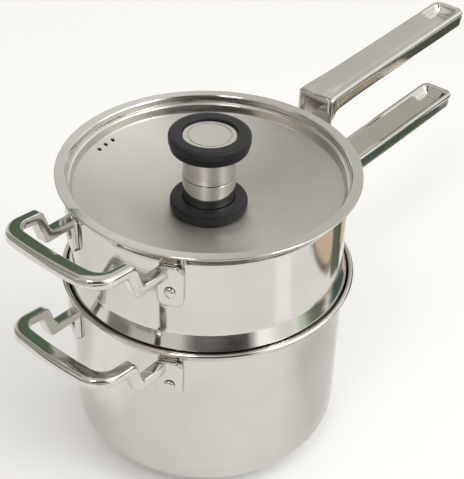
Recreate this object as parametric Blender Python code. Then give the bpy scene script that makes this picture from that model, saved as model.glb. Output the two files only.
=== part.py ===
"""Steamer pot: a saucepan, a steamer inset that hangs in its rim, and a dished lid with a knob.

Metres, +Z up. The origin is the centre of the pot's base, on the surface it stands on.
The long handles point along +X and the helper handles along -X.
"""
from math import cos, pi, radians, sin, sqrt, tan

import bmesh
import bpy
from mathutils import Matrix, Vector

MM = 0.001

# Clearances
GAP = 0.3 * MM                  # between pieces that touch
NECK_CLEARANCE = 0.94 * MM      # steamer neck inside the pot's wall
SKIRT_CLEARANCE = 0.9 * MM      # steamer's resting bead inside the pot's rim
THROUGH = 6.0 * MM              # how far drills and cutters run past what they cut
NECK_OVERRUN = 1.0 * MM         # how far necks run into the wall's line before they are cut to it

# Pot
POT_RADIUS = 89.0 * MM          # outside of the wall
POT_WALL = 1.2 * MM
POT_HEIGHT = 124.5 * MM         # underside of the shell's floor to the top of the rim
POT_CORNER_ACROSS = 26.0 * MM
POT_CORNER_UP = 18.5 * MM

# Base disc under the pot
BASE_RADIUS = 62.0 * MM
BASE_CAP_THICKNESS = 0.8 * MM
BASE_CORE_THICKNESS = 2.8 * MM
BASE_EDGE = 1.5 * MM            # rounding under the cap's rim

# Rims of the pot and of the steamer
RIM_STEP = 3.4 * MM             # how far the rim widens beyond the wall's inside
RIM_LEDGE_DEPTH = 4.2 * MM      # rest ledge below the crest
RIM_FLARE_HEIGHT = 3.6 * MM     # the slope from the wall to the ledge
POT_LIP_OVERHANG = 5.8 * MM     # lip beyond the wall's outside
STEAMER_LIP_OVERHANG = 5.2 * MM
LIP_THICKNESS = 2.2 * MM

# Steamer
STEAMER_WALL = 1.0 * MM
STEAMER_RISE = 70.0 * MM        # steamer's rim above the pot's rim
BEAD_TOP_RISE = 9.9 * MM        # where the wall starts to flare, above the pot's rim
BEAD_EDGE_RISE = 0.5 * MM       # the bead's crisp edge, above the pot's rim
BEAD_WALL = 1.2 * MM
BEAD_LEAD = 1.2 * MM            # lead-in under the bead's seat
BEAD_HEEL = 1.4 * MM            # seat to the bead's lower corner
BEAD_EASE = 0.5 * MM            # easing of the bead's corners
STEAMER_DEPTH_IN_POT = 24.0 * MM
STEAMER_CORNER = 6.0 * MM
STEAM_HOLE_RADIUS = 3.0 * MM
STEAM_HOLE_PITCH = 19.0 * MM
STEAM_HOLE_RINGS = 3

# Lid
LID_RADIUS = 94.4 * MM          # the steamer's rim and wall follow it
LID_OVERHANG = 2.34 * MM        # lid's edge beyond the steamer's lip
LID_SHEET = 1.0 * MM
LID_BRIM_WIDTH = 6.8 * MM
LID_STEP_DEPTH = 5.2 * MM
LID_STEP_WIDTH = 2.2 * MM
LID_RECESS_DEPTH = 11.6 * MM    # brim to the edge of the dish
LID_DISH_SAG = 18.8 * MM        # edge of the dish to its centre
LID_DISH_LIP = 1.7 * MM         # step to the edge of the dish
LID_DISH_POWER = 1.35           # flatter in the middle than at the edge
LID_SEAT_RADIUS = 26.0 * MM     # flat middle under the knob
LID_DISH_RINGS = 5
VENT_RADIUS = 1.4 * MM
VENT_INSET = 14.2 * MM          # lid's edge to the vents
VENT_MIDDLE_AZIMUTH = radians(98.1)
VENT_PITCH = radians(5.0)
VENT_COUNT = 3

# Knob
KNOB_TOP_RADIUS = 25.3 * MM
KNOB_TOP_THICKNESS = 10.2 * MM
KNOB_BASE_RADIUS = 24.4 * MM
KNOB_BASE_THICKNESS = 8.4 * MM
KNOB_HEIGHT = 54.0 * MM
SLEEVE_RADIUS = 16.4 * MM
SLEEVE_SEAM_RADIUS = 17.0 * MM
SLEEVE_FOOT_RADIUS = 16.0 * MM
SLEEVE_WALL = 1.6 * MM
SLEEVE_SEAM_RISE = 25.6 * MM    # above the lid's seat
SLEEVE_SOCKET = 2.6 * MM        # how deep each sleeve stands in its ring
SLEEVE_LAP = 2.0 * MM           # lower sleeve inside the upper one
KNOB_EDGE = 3.0 * MM            # soft edges of the black rings
KNOB_STEP = 1.6 * MM            # top ring's underside is narrower by this
KNOB_GROOVE = 0.5 * MM          # grooves in the top ring and in the cap
CAP_RADIUS = 16.7 * MM
CAP_THICKNESS = 2.2 * MM
CAP_RECESS = 1.5 * MM           # cap below the top ring's crown
CAP_GROOVE_RADIUS = 13.3 * MM
CAP_BOSS_RADIUS = 5.0 * MM
CAP_BOSS_LENGTH = 12.0 * MM
SCREW_RADIUS = 2.4 * MM
SCREW_HEAD_RADIUS = 4.6 * MM
SCREW_HEAD_HEIGHT = 2.4 * MM
SCREW_GRIP = 8.0 * MM           # screw inside the cap's boss
SCREW_TIP_GAP = 0.8 * MM        # screw's end to the end of its bore
WASHER_RADIUS = 7.0 * MM
WASHER_THICKNESS = 1.0 * MM

# Long handles
LONG_REACH = 191.5 * MM         # wall to tip
LONG_STANDOFF = 21.0 * MM       # wall to the near end of the grip
LONG_SAG = 0.2 * MM             # the grip's top dips by this at mid length
LONG_HALF_WIDTH = 12.7 * MM
LONG_TIP_FLARE = 0.6 * MM       # half width gained towards the tip
LONG_HEEL_FLARE = 1.2 * MM      # half width gained at the near end
LONG_HEEL_RUN = 50.0 * MM       # near end to where its flare has gone
LONG_EDGE = 1.5 * MM            # bevel of the grip's edges
LONG_BOTTOM_INSET = 0.9 * MM
LONG_THICKNESS = 12.6 * MM
LONG_SHANK_THICKNESS = 6.2 * MM
LONG_SHANK_INSET = 3.0 * MM     # the shank's back is narrower by this each side
LONG_BEND = 3.0 * MM            # neck into shank, and shank into grip
LONG_BORDER = 2.6 * MM
LONG_RAMP = 0.8 * MM            # border to the hollow
LONG_DISH = 0.7 * MM            # hollow of the grip's top between its borders
LONG_SHANK_DISH = 2.4 * MM      # hollow of the shank's face towards the pot
LONG_TIP_RADIUS = 6.5 * MM
LONG_SHANK_DROP = 25.0 * MM     # top of the grip to the top of the neck
LONG_NECK_THICKNESS = 7.0 * MM
LONG_NECK_INSET = 3.0 * MM      # the neck is narrower than its plate by this each side
LONG_PLATE_HEIGHT = 27.0 * MM
LONG_PLATE_HALF_WIDTH = 13.0 * MM
LONG_PLATE_RISE = 1.0 * MM      # plate's top above the neck's top
LONG_RIVET_SPREAD = 8.0 * MM
LONG_RIVET_DROP = 15.5 * MM     # rivets below the neck's top
POT_LONG_LIFT = 9.0 * MM        # near end of the grip above the vessel's own rim
STEAMER_LONG_LIFT = 7.6 * MM
POT_LONG_SLOPE = radians(1.8)
STEAMER_LONG_SLOPE = radians(2.6)
POCKET_LENGTH = 24.0 * MM       # hollow in the handle's tip
POCKET_WIDTH = 20.0 * MM
POCKET_CORNER = 5.0 * MM
POCKET_DEPTH = 5.0 * MM
POCKET_TO_TIP = 4.2 * MM
POCKET_DRAFT = 3.0 * MM

# Helper handles
HELPER_REACH = 49.4 * MM        # wall to the outside of the bar
HELPER_BAR_DEPTH = 9.8 * MM     # width of the bar at its middle
HELPER_ARM_DEPTH = 7.2 * MM
HELPER_SPREAD = 37.0 * MM       # middle of the handle to the middle of an arm
HELPER_CORNER = 13.0 * MM
HELPER_BOW = 2.4 * MM
HELPER_SLOPE = radians(5.0)
HELPER_THICKNESS = 7.0 * MM
HELPER_INNER_EDGE = 0.8 * MM    # rounding of the bar's top towards the pot
HELPER_OUTER_EDGE = 2.4 * MM
HELPER_ARM_EDGE = 2.8 * MM
HELPER_LOW_EDGE = 2.2 * MM
HELPER_BAR_RISE = 19.2 * MM     # bar's top above the neck's top
HELPER_NECK_START = 12.4 * MM   # wall to the foot of the riser
HELPER_RISER = 6.6 * MM
HELPER_NECK_THICKNESS = 6.6 * MM
HELPER_DROP = 11.8 * MM         # neck's top below the vessel's own rim
HELPER_PLATE_HALF_WIDTH = 8.1 * MM
HELPER_PLATE_HEIGHT = 28.0 * MM
HELPER_PLATE_RISE = 1.8 * MM    # plate's top above the neck's top
HELPER_PLATE_AZIMUTH = radians(27.2)
HELPER_RIVET_DROP = 15.8 * MM   # rivet below the neck's top

# Mounting plates and rivets
PLATE_THICKNESS = 3.0 * MM
PLATE_CORNER = 5.0 * MM
RIVET_RADIUS = 1.9 * MM
RIVET_HEAD_RADIUS = 3.5 * MM
RIVET_HEAD_HEIGHT = 1.7 * MM
RIVET_INNER_HEAD = 1.0 * MM

# Facets
BODY_STEPS = 44
KNOB_STEPS = 28
SMALL_STEPS = 14
RIVET_STEPS = 10
HOLE_SIDES = 6
GRIP_STATIONS = 6

# Derived heights
SHELL_BOTTOM = BASE_CAP_THICKNESS + BASE_CORE_THICKNESS + 2 * GAP
POT_RIM = SHELL_BOTTOM + POT_HEIGHT
STEAMER_RIM = POT_RIM + STEAMER_RISE
LID_TOP = STEAMER_RIM + GAP + LID_SHEET
DISH_EDGE = LID_TOP - LID_RECESS_DEPTH
LID_SEAT = DISH_EDGE - LID_DISH_SAG

# Derived radii
POT_INSIDE = POT_RADIUS - POT_WALL
NECK_RADIUS = POT_INSIDE - NECK_CLEARANCE
NECK_INSIDE = NECK_RADIUS - STEAMER_WALL
STEAMER_RADIUS = LID_RADIUS - LID_OVERHANG - STEAMER_LIP_OVERHANG
STEAMER_INSIDE = STEAMER_RADIUS - STEAMER_WALL
DISH_RADIUS = LID_RADIUS - LID_BRIM_WIDTH - LID_STEP_WIDTH - LID_DISH_LIP
VENT_CIRCLE = LID_RADIUS - VENT_INSET

# Colours, roughness and metallic values
STEEL = ((0.62, 0.60, 0.57), 0.16, 1.0)
BRUSHED = ((0.58, 0.56, 0.53), 0.30, 1.0)
ALUMINIUM = ((0.70, 0.70, 0.71), 0.40, 1.0)
BLACK = ((0.028, 0.028, 0.030), 0.45, 0.0)


def clear_scene():
    for obj in list(bpy.data.objects):
        bpy.data.objects.remove(obj, do_unlink=True)


def make_material(name, finish):
    colour, roughness, metallic = finish
    material = bpy.data.materials.new(name)
    material.use_nodes = True
    shader = material.node_tree.nodes["Principled BSDF"]
    shader.inputs["Base Color"].default_value = (*colour, 1.0)
    shader.inputs["Roughness"].default_value = roughness
    shader.inputs["Metallic"].default_value = metallic
    material.diffuse_color = (*colour, 1.0)
    return material


def add_object(name, mesh, finish, smooth_angle=radians(35)):
    """Link a mesh as one named sub-part with its own material."""
    obj = bpy.data.objects.new(name, mesh)
    bpy.context.scene.collection.objects.link(obj)
    if finish is not None:
        mesh.materials.append(make_material(name + "_finish", finish))
    mesh.shade_smooth()
    mesh.set_sharp_from_angle(angle=smooth_angle)
    return obj


def adopt(obj, parent):
    """Parent a piece that is modelled in world places."""
    obj.parent = parent
    obj.matrix_parent_inverse = parent.matrix_world.inverted()


def mesh_from(bm, name):
    bmesh.ops.recalc_face_normals(bm, faces=bm.faces)
    mesh = bpy.data.meshes.new(name)
    bm.to_mesh(mesh)
    bm.free()
    return mesh


def lathe(name, outline, steps):
    """Turn a closed outline of (radius, height) points about Z; points on the axis close it."""
    bm = bmesh.new()
    rings = []
    for radius, height in outline:
        if radius < 1e-7:
            rings.append([bm.verts.new((0.0, 0.0, height))])
            continue
        ring = []
        for i in range(steps):
            angle = 2 * pi * i / steps
            ring.append(bm.verts.new((radius * cos(angle), radius * sin(angle), height)))
        rings.append(ring)
    for a, b in zip(rings, rings[1:] + rings[:1]):
        if len(a) == 1 and len(b) == 1:
            continue
        for i in range(steps):
            j = (i + 1) % steps
            corners = [a[i % len(a)], a[j % len(a)], b[j % len(b)], b[i % len(b)]]
            unique = list(dict.fromkeys(corners))
            bm.faces.new(unique)
    return mesh_from(bm, name)


def arc(centre, across, up, start, end, count):
    """Points on an ellipse quarter, from one angle to another in degrees."""
    points = []
    for i in range(count):
        angle = radians(start + (end - start) * i / (count - 1))
        points.append((centre[0] + across * cos(angle), centre[1] + up * sin(angle)))
    return points


def loft(name, sections):
    """Skin a row of equal rings of points and close both ends."""
    bm = bmesh.new()
    rings = [[bm.verts.new(point) for point in section] for section in sections]
    count = len(rings[0])
    for a, b in zip(rings, rings[1:]):
        for i in range(count):
            j = (i + 1) % count
            bm.faces.new((a[i], a[j], b[j], b[i]))
    bmesh.ops.triangulate(bm, faces=bm.faces)
    bm.faces.new(rings[0])
    bm.faces.new(rings[-1])
    return mesh_from(bm, name)


def prism(name, outline, low, high):
    """Stand a closed outline of (x, y) points up between two heights."""
    bm = bmesh.new()
    bottom = [bm.verts.new((x, y, low)) for x, y in outline]
    top = [bm.verts.new((x, y, high)) for x, y in outline]
    bm.faces.new(bottom)
    bm.faces.new(top)
    for i in range(len(outline)):
        j = (i + 1) % len(outline)
        bm.faces.new((bottom[i], bottom[j], top[j], top[i]))
    return mesh_from(bm, name)


def rounded_rectangle(half_x, half_y, corner, per_corner=4):
    points = []
    for sx, sy, start in ((1, 1, 0), (-1, 1, 90), (-1, -1, 180), (1, -1, 270)):
        for i in range(per_corner):
            angle = radians(start + 90 * i / (per_corner - 1))
            points.append((sx * (half_x - corner) + corner * cos(angle),
                           sy * (half_y - corner) + corner * sin(angle)))
    return points


def cutter(name, mesh, matrix=None):
    """A tool body that is never part of the model."""
    obj = bpy.data.objects.new(name, mesh)
    bpy.context.scene.collection.objects.link(obj)
    if matrix is not None:
        obj.matrix_world = matrix
    obj.hide_render = True
    obj.display_type = "WIRE"
    return obj


def boolean(obj, tool, operation="DIFFERENCE"):
    modifier = obj.modifiers.new(tool.name, "BOOLEAN")
    modifier.operation = operation
    modifier.solver = "EXACT"
    modifier.object = tool


def outward_frame(azimuth, radius, height):
    """A frame on the wall: local Z points away from the axis, local Y points up."""
    outward = Vector((cos(azimuth), sin(azimuth), 0.0))
    up = Vector((0.0, 0.0, 1.0))
    side = up.cross(outward)
    frame = Matrix((side, up, outward)).transposed().to_4x4()
    frame.translation = outward * radius + up * height
    return frame


def rim_outline(inside, wall, crest, overhang):
    """The outside and inside lines of a stepped, flared rim, both from the wall upwards."""
    widened = inside + RIM_STEP
    lip_edge = inside + wall + overhang
    ledge = crest - RIM_LEDGE_DEPTH
    inner = [
        (inside, ledge - RIM_FLARE_HEIGHT),
        (inside + 0.30 * RIM_STEP, ledge - 0.45 * RIM_FLARE_HEIGHT),
        (widened - 0.25 * RIM_STEP, ledge + 0.10 * RIM_FLARE_HEIGHT),
        (widened, ledge + 0.45 * RIM_FLARE_HEIGHT),
        (widened + 0.3 * wall, crest - 0.3 * LIP_THICKNESS),
    ]
    crown = [
        (widened + 1.5 * wall, crest),
        (lip_edge - 0.45 * LIP_THICKNESS, crest - 0.16 * LIP_THICKNESS),
        (lip_edge, crest - 0.60 * LIP_THICKNESS),
        (lip_edge - 0.25 * LIP_THICKNESS, crest - LIP_THICKNESS),
    ]
    outer = [
        (widened + wall, ledge + 0.50 * RIM_FLARE_HEIGHT),
        (inside + 0.42 * RIM_STEP + 0.85 * wall, ledge - 0.60 * RIM_FLARE_HEIGHT),
        (inside + wall, ledge - 1.35 * RIM_FLARE_HEIGHT),
    ]
    return outer[::-1], crown[::-1], inner[::-1]


def pot_outline():
    """Closed outline of the pot's shell, from the axis outside, over the rim and back inside."""
    outer_rim, crown, inner_rim = rim_outline(POT_INSIDE, POT_WALL, POT_RIM, POT_LIP_OVERHANG)
    corner = (POT_RADIUS - POT_CORNER_ACROSS, SHELL_BOTTOM + POT_CORNER_UP)
    outside = arc(corner, POT_CORNER_ACROSS, POT_CORNER_UP, -90, 0, 6)
    inside = arc(corner, POT_CORNER_ACROSS - POT_WALL, POT_CORNER_UP - POT_WALL, 0, -90, 5)
    return ([(0.0, SHELL_BOTTOM)] + outside + outer_rim + crown + inner_rim
            + inside + [(0.0, SHELL_BOTTOM + POT_WALL)])


def seat_height(radius):
    """Height of the pot's rim slope at a radius, where the steamer's bead rests."""
    low = (POT_INSIDE + 0.30 * RIM_STEP, POT_RIM - RIM_LEDGE_DEPTH - 0.45 * RIM_FLARE_HEIGHT)
    high = (POT_INSIDE + 0.75 * RIM_STEP, POT_RIM - RIM_LEDGE_DEPTH + 0.10 * RIM_FLARE_HEIGHT)
    share = (radius - low[0]) / (high[0] - low[0])
    return low[1] + share * (high[1] - low[1])


def steamer_outline():
    """Closed outline of the steamer: perforated floor, neck, resting bead, wall and rim."""
    outer_rim, crown, inner_rim = rim_outline(
        STEAMER_INSIDE, STEAMER_WALL, STEAMER_RIM, STEAMER_LIP_OVERHANG)
    floor = POT_RIM - STEAMER_DEPTH_IN_POT
    corner = (NECK_RADIUS - STEAMER_CORNER, floor + STEAMER_CORNER)
    bead_radius = POT_INSIDE + RIM_STEP - SKIRT_CLEARANCE
    lifted = 1.6 * GAP
    seat_outer = POT_INSIDE + 0.62 * RIM_STEP
    seat_inner = POT_INSIDE + 0.12 * RIM_STEP
    bead_top = POT_RIM + BEAD_TOP_RISE
    bead_edge = POT_RIM + BEAD_EDGE_RISE
    flare_low = Vector((bead_radius - 0.6 * BEAD_EASE, bead_edge + 0.4 * BEAD_EASE))
    flare_top = Vector((STEAMER_RADIUS + BEAD_EASE, bead_top - 2 * BEAD_EASE))
    flare = (flare_top - flare_low).normalized()
    inward = Vector((-flare.y, flare.x)) * STEAMER_WALL
    outside_bead = [
        (NECK_RADIUS, seat_height(seat_inner) - BEAD_LEAD),
        (seat_inner, seat_height(seat_inner) + lifted),
        (seat_outer, seat_height(seat_outer) + lifted),
        (bead_radius, seat_height(seat_outer) + BEAD_HEEL),
        (bead_radius, bead_edge - BEAD_EASE),
        tuple(flare_low),
        tuple(flare_top),
        (STEAMER_RADIUS, bead_top + 1.2 * BEAD_EASE),
    ]
    inside_bead = [
        (STEAMER_INSIDE, bead_top + 1.2 * BEAD_EASE),
        tuple(flare_top + inward),
        tuple(flare_low + inward),
        (bead_radius - BEAD_WALL, seat_height(seat_outer) + BEAD_HEEL + 0.6 * BEAD_EASE),
        (NECK_INSIDE, seat_height(seat_inner) - 0.4 * BEAD_EASE),
    ]
    outside = arc(corner, STEAMER_CORNER, STEAMER_CORNER, -90, 0, 3)
    inner_corner = STEAMER_CORNER - STEAMER_WALL
    inside = arc(corner, inner_corner, inner_corner, 0, -90, 3)
    return ([(0.0, floor)] + outside + outside_bead + outer_rim + crown + inner_rim
            + inside_bead + inside + [(0.0, floor + STEAMER_WALL)])


def dish_height(radius):
    """Top of the lid's dish at a radius: a shallow bowl with a flat middle."""
    if radius <= LID_SEAT_RADIUS:
        return LID_SEAT
    share = (radius - LID_SEAT_RADIUS) / (DISH_RADIUS - LID_SEAT_RADIUS)
    return LID_SEAT + LID_DISH_SAG * share ** LID_DISH_POWER


def lid_outline():
    """Closed outline of the pressed lid, top line from the middle out, then back underneath."""
    sheet = LID_SHEET
    brim_inner = LID_RADIUS - LID_BRIM_WIDTH
    step = LID_TOP - LID_STEP_DEPTH
    step_inner = brim_inner - LID_STEP_WIDTH
    edge = DISH_RADIUS
    dish = []
    for i in range(LID_DISH_RINGS):
        radius = LID_SEAT_RADIUS + (edge - LID_SEAT_RADIUS) * i / LID_DISH_RINGS
        dish.append((radius, dish_height(radius)))
    under_dish = [(radius, height - sheet) for radius, height in reversed(dish)]
    top = [
        (edge, DISH_EDGE),
        (edge + 0.6 * sheet, DISH_EDGE + sheet),
        (step_inner - 0.4 * sheet, step - 0.8 * sheet),
        (step_inner + 0.5 * sheet, step),
        (brim_inner - 0.8 * sheet, step + 0.3 * sheet),
        (brim_inner - 0.4 * sheet, step + 1.4 * sheet),
        (brim_inner - 0.2 * sheet, LID_TOP - 0.9 * sheet),
        (brim_inner + 0.5 * sheet, LID_TOP),
        (LID_RADIUS - 0.4 * sheet, LID_TOP),
        (LID_RADIUS, LID_TOP - 0.4 * sheet),
        (LID_RADIUS - 0.3 * sheet, LID_TOP - sheet),
    ]
    under = [
        (brim_inner + 1.1 * sheet, LID_TOP - sheet),
        (brim_inner + 0.6 * sheet, LID_TOP - 2.2 * sheet),
        (brim_inner + 0.2 * sheet, step - 0.7 * sheet),
        (step_inner + 0.6 * sheet, step - sheet),
        (edge + sheet, DISH_EDGE - 0.6 * sheet),
    ]
    hole = SCREW_RADIUS + GAP
    return ([(hole, LID_SEAT)] + dish + top + under + under_dish
            + [(hole, LID_SEAT - LID_SHEET)])


def bar_section(top, bottom, half_top, half_bottom, dish, border):
    """Ring of points round a flat bar: bordered, hollowed top and bevelled sides.

    top and bottom are points in the XZ plane; the bar's width runs along Y.
    """
    top = Vector((top[0], 0.0, top[1]))
    down = Vector((bottom[0], 0.0, bottom[1])) - top
    depth = down.length
    down.normalize()
    edge = LONG_EDGE
    inner = border + LONG_RAMP
    outline = [
        (-half_top, 1.2 * edge),
        (-half_top + 0.35 * edge, 0.35 * edge),
        (-half_top + edge, 0.0),
        (-half_top + border, 0.0),
        (-half_top + inner, dish),
        (0.0, 1.25 * dish),
        (half_top - inner, dish),
        (half_top - border, 0.0),
        (half_top - edge, 0.0),
        (half_top - 0.35 * edge, 0.35 * edge),
        (half_top, 1.2 * edge),
        (half_bottom, depth - edge),
        (half_bottom - edge, depth),
        (-half_bottom + edge, depth),
        (-half_bottom, depth - edge),
    ]
    return [top + down * d + Vector((0.0, side, 0.0)) for side, d in outline]


def wall_plate(obj, name, azimuth, wall_radius, middle, half_width, half_height):
    """Join a mounting plate that lies against the wall to a handle."""
    outline = rounded_rectangle(half_width, half_height, PLATE_CORNER)
    mesh = prism(name, outline, -PLATE_THICKNESS, PLATE_THICKNESS)
    tool = cutter(name, mesh, outward_frame(azimuth, wall_radius + GAP, middle))
    boolean(obj, tool, "UNION")


def clear_of_wall(obj, name, wall_radius, middle, half_height):
    """Cut a handle back to the wall's own facets, a gap away."""
    radius = wall_radius + GAP
    low = middle - half_height - THROUGH
    high = middle + half_height + THROUGH
    outline = [(0.0, low), (radius, low), (radius, high), (0.0, high)]
    boolean(obj, cutter(name, lathe(name, outline, BODY_STEPS)))


def rivet_hole(obj, name, frame):
    """Bore for a rivet through whatever stands at the wall there."""
    radius = RIVET_RADIUS + GAP
    reach = PLATE_THICKNESS + THROUGH
    outline = [(0.0, -reach), (radius, -reach), (radius, reach), (0.0, reach)]
    boolean(obj, cutter(name, lathe(name, outline, RIVET_STEPS), frame))


def rivet(name, frame, inside, parent):
    """Rivet with a domed head on the plate and a flat head behind the wall."""
    seat = GAP + PLATE_THICKNESS + GAP
    outline = [
        (0.0, inside - RIVET_INNER_HEAD),
        (RIVET_HEAD_RADIUS, inside - 0.6 * RIVET_INNER_HEAD),
        (RIVET_HEAD_RADIUS, inside),
        (RIVET_RADIUS, inside),
        (RIVET_RADIUS, seat),
        (RIVET_HEAD_RADIUS, seat),
        (RIVET_HEAD_RADIUS, seat + 0.35 * RIVET_HEAD_HEIGHT),
        (0.72 * RIVET_HEAD_RADIUS, seat + 0.85 * RIVET_HEAD_HEIGHT),
        (0.0, seat + RIVET_HEAD_HEIGHT),
    ]
    obj = add_object(name, lathe(name, outline, RIVET_STEPS), STEEL)
    obj.matrix_basis = frame
    adopt(obj, parent)


def grip_rise(along, length, slope):
    """Height of the grip's top line above its near end."""
    return along * tan(slope) - LONG_SAG * sin(pi * min(along / length, 1.0))


def long_handle_sections(wall_radius, near_top, slope):
    """Rings of the long handle: neck at the wall, upright shank, then the sloping grip."""
    neck_top = near_top - LONG_SHANK_DROP
    neck_bottom = neck_top - LONG_NECK_THICKNESS
    face = wall_radius + LONG_STANDOFF
    back = face + LONG_SHANK_THICKNESS
    tip = wall_radius + LONG_REACH
    start = wall_radius - NECK_OVERRUN
    bend = LONG_BEND
    neck_half = LONG_PLATE_HALF_WIDTH - LONG_NECK_INSET
    heel_half = LONG_HALF_WIDTH + LONG_HEEL_FLARE
    low_half = heel_half - LONG_BOTTOM_INSET
    back_half = heel_half - LONG_SHANK_INSET
    rib = 0.85 * LONG_BORDER
    crease = near_top - 0.2 * bend
    under = near_top - LONG_THICKNESS
    rows = [
        ((start, neck_top), (start, neck_bottom), neck_half, neck_half, 0.0),
        ((face - bend, neck_top), (face - 0.2 * bend, neck_bottom), neck_half, neck_half, 0.0),
        ((face - 0.25 * bend, neck_top + 0.35 * bend),
         (face + 0.65 * LONG_SHANK_THICKNESS, neck_bottom + 0.8 * bend),
         heel_half - 0.4 * bend, back_half, 0.2 * LONG_SHANK_DISH),
        ((face, neck_top + 1.3 * bend), (back, neck_top + 0.2 * bend), heel_half,
         back_half, 0.8 * LONG_SHANK_DISH),
        ((face, near_top - 1.3 * bend), (back, under - 1.1 * bend), heel_half,
         back_half, LONG_SHANK_DISH),
        ((face + 0.04 * bend, crease), (back + 0.3 * bend, under - 0.5 * bend), heel_half,
         0.5 * (low_half + back_half), LONG_SHANK_DISH),
        ((face + 0.27 * bend, near_top), (back + 0.9 * bend, under - 0.1 * bend), heel_half,
         low_half, 1.6 * LONG_DISH),
    ]
    rows = [row + (rib,) for row in rows]
    length = tip - face
    grip_start = back + 1.9 * bend
    corner_start = tip - LONG_TIP_RADIUS
    for i in range(GRIP_STATIONS):
        share = (i / (GRIP_STATIONS - 1)) ** 1.4
        x = grip_start + (corner_start - grip_start) * share
        rise = grip_rise(x - face, length, slope)
        heel = max(0.0, 1 - (x - face) / LONG_HEEL_RUN)
        half = LONG_HALF_WIDTH + LONG_TIP_FLARE * share + LONG_HEEL_FLARE * heel ** 2
        rows.append(((x, near_top + rise), (x, under + rise), half,
                     half - LONG_BOTTOM_INSET, LONG_DISH, LONG_BORDER))
    for angle in (radians(35), radians(65), radians(90)):
        x = corner_start + LONG_TIP_RADIUS * sin(angle)
        drawn_in = LONG_TIP_RADIUS * (1 - cos(angle))
        rise = grip_rise(x - face, length, slope)
        half = LONG_HALF_WIDTH + LONG_TIP_FLARE - drawn_in
        end = 0.35 * drawn_in
        rows.append(((x, near_top + rise), (x, under + rise + end), half,
                     half - LONG_BOTTOM_INSET, LONG_DISH * cos(angle), LONG_BORDER))
    return [bar_section(top, bottom, half_top, half_bottom, dish, border)
            for top, bottom, half_top, half_bottom, dish, border in rows]


def tip_pocket(name, wall_radius, near_top, slope):
    """Cutter for the rounded hollow in the top of the handle's tip."""
    half_length = POCKET_LENGTH / 2
    half_width = POCKET_WIDTH / 2
    middle = LONG_REACH - LONG_STANDOFF - POCKET_TO_TIP - half_length
    rise = grip_rise(middle, LONG_REACH - LONG_STANDOFF, slope)
    tilt = slope + pi * LONG_SAG / (LONG_REACH - LONG_STANDOFF)
    sections = []
    for share, inset in ((-0.5, -0.35), (0.0, 0.0), (0.55, 0.30), (0.88, 0.65), (1.0, 1.25)):
        shrink = inset * POCKET_DRAFT
        outline = rounded_rectangle(half_length - shrink, half_width - shrink,
                                    POCKET_CORNER - 0.5 * shrink)
        sections.append([Vector((x, y, -share * POCKET_DEPTH)) for x, y in outline])
    matrix = Matrix.Translation((wall_radius + LONG_STANDOFF + middle, 0.0, near_top + rise))
    return cutter(name, loft(name, sections), matrix @ Matrix.Rotation(-tilt, 4, "Y"))


def long_handle(vessel, wall_radius, rim, lift, slope, parent):
    """Cast long handle with its mounting plate, pocket and rivet holes."""
    name = vessel + "_long_handle"
    near_top = rim + lift
    neck_top = near_top - LONG_SHANK_DROP
    middle = neck_top + LONG_PLATE_RISE - LONG_PLATE_HEIGHT / 2
    obj = add_object(name, loft(name, long_handle_sections(wall_radius, near_top, slope)), STEEL)
    adopt(obj, parent)
    wall_plate(obj, name + "_plate", 0.0, wall_radius, middle,
               LONG_PLATE_HALF_WIDTH, LONG_PLATE_HEIGHT / 2)
    boolean(obj, tip_pocket(name + "_pocket", wall_radius, near_top, slope))
    clear_of_wall(obj, name + "_wall_cut", wall_radius, middle, LONG_PLATE_HEIGHT / 2)
    rivet_height = neck_top - LONG_RIVET_DROP
    return obj, [(0.0, side, rivet_height) for side in (-LONG_RIVET_SPREAD, LONG_RIVET_SPREAD)]


def rod_section(point, across, down, width, thickness, inner_edge, outer_edge):
    """Ring of points round the helper bar: flat top, a softer outer edge, round underneath."""
    low = HELPER_LOW_EDGE
    half = width / 2
    outline = [
        (-half + inner_edge, 0.0),
        (half - outer_edge, 0.0),
        (half - 0.3 * outer_edge, 0.3 * outer_edge),
        (half, outer_edge),
        (half, thickness - low),
        (half - 0.3 * low, thickness - 0.3 * low),
        (half - low, thickness),
        (-half + low, thickness),
        (-half + 0.3 * low, thickness - 0.3 * low),
        (-half, thickness - low),
        (-half, inner_edge),
    ]
    return [point + across * a + down * d for a, d in outline]


def helper_bar_rows(wall_radius):
    """Reach, side, heading, width, thickness and outer edge from the bar's middle to its arm."""
    middle = wall_radius + HELPER_REACH - HELPER_BAR_DEPTH / 2
    corner_side = HELPER_SPREAD - HELPER_CORNER
    rows = []
    for side in (0.0, 0.45 * corner_side, 0.8 * corner_side):
        reach = middle - HELPER_BOW * (side / HELPER_SPREAD) ** 2
        rows.append((reach, side, 0.0, HELPER_BAR_DEPTH, HELPER_OUTER_EDGE))
    corner_reach = middle - HELPER_BOW * (corner_side / HELPER_SPREAD) ** 2 - HELPER_CORNER
    for i in range(5):
        angle = pi / 2 * i / 4
        share = 1 - cos(angle)
        width = HELPER_BAR_DEPTH + (HELPER_ARM_DEPTH - HELPER_BAR_DEPTH) * share
        edge = HELPER_OUTER_EDGE + (HELPER_ARM_EDGE - HELPER_OUTER_EDGE) * share
        rows.append((corner_reach + HELPER_CORNER * cos(angle),
                     corner_side + HELPER_CORNER * sin(angle), angle, width, edge))
    return middle, rows


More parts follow.
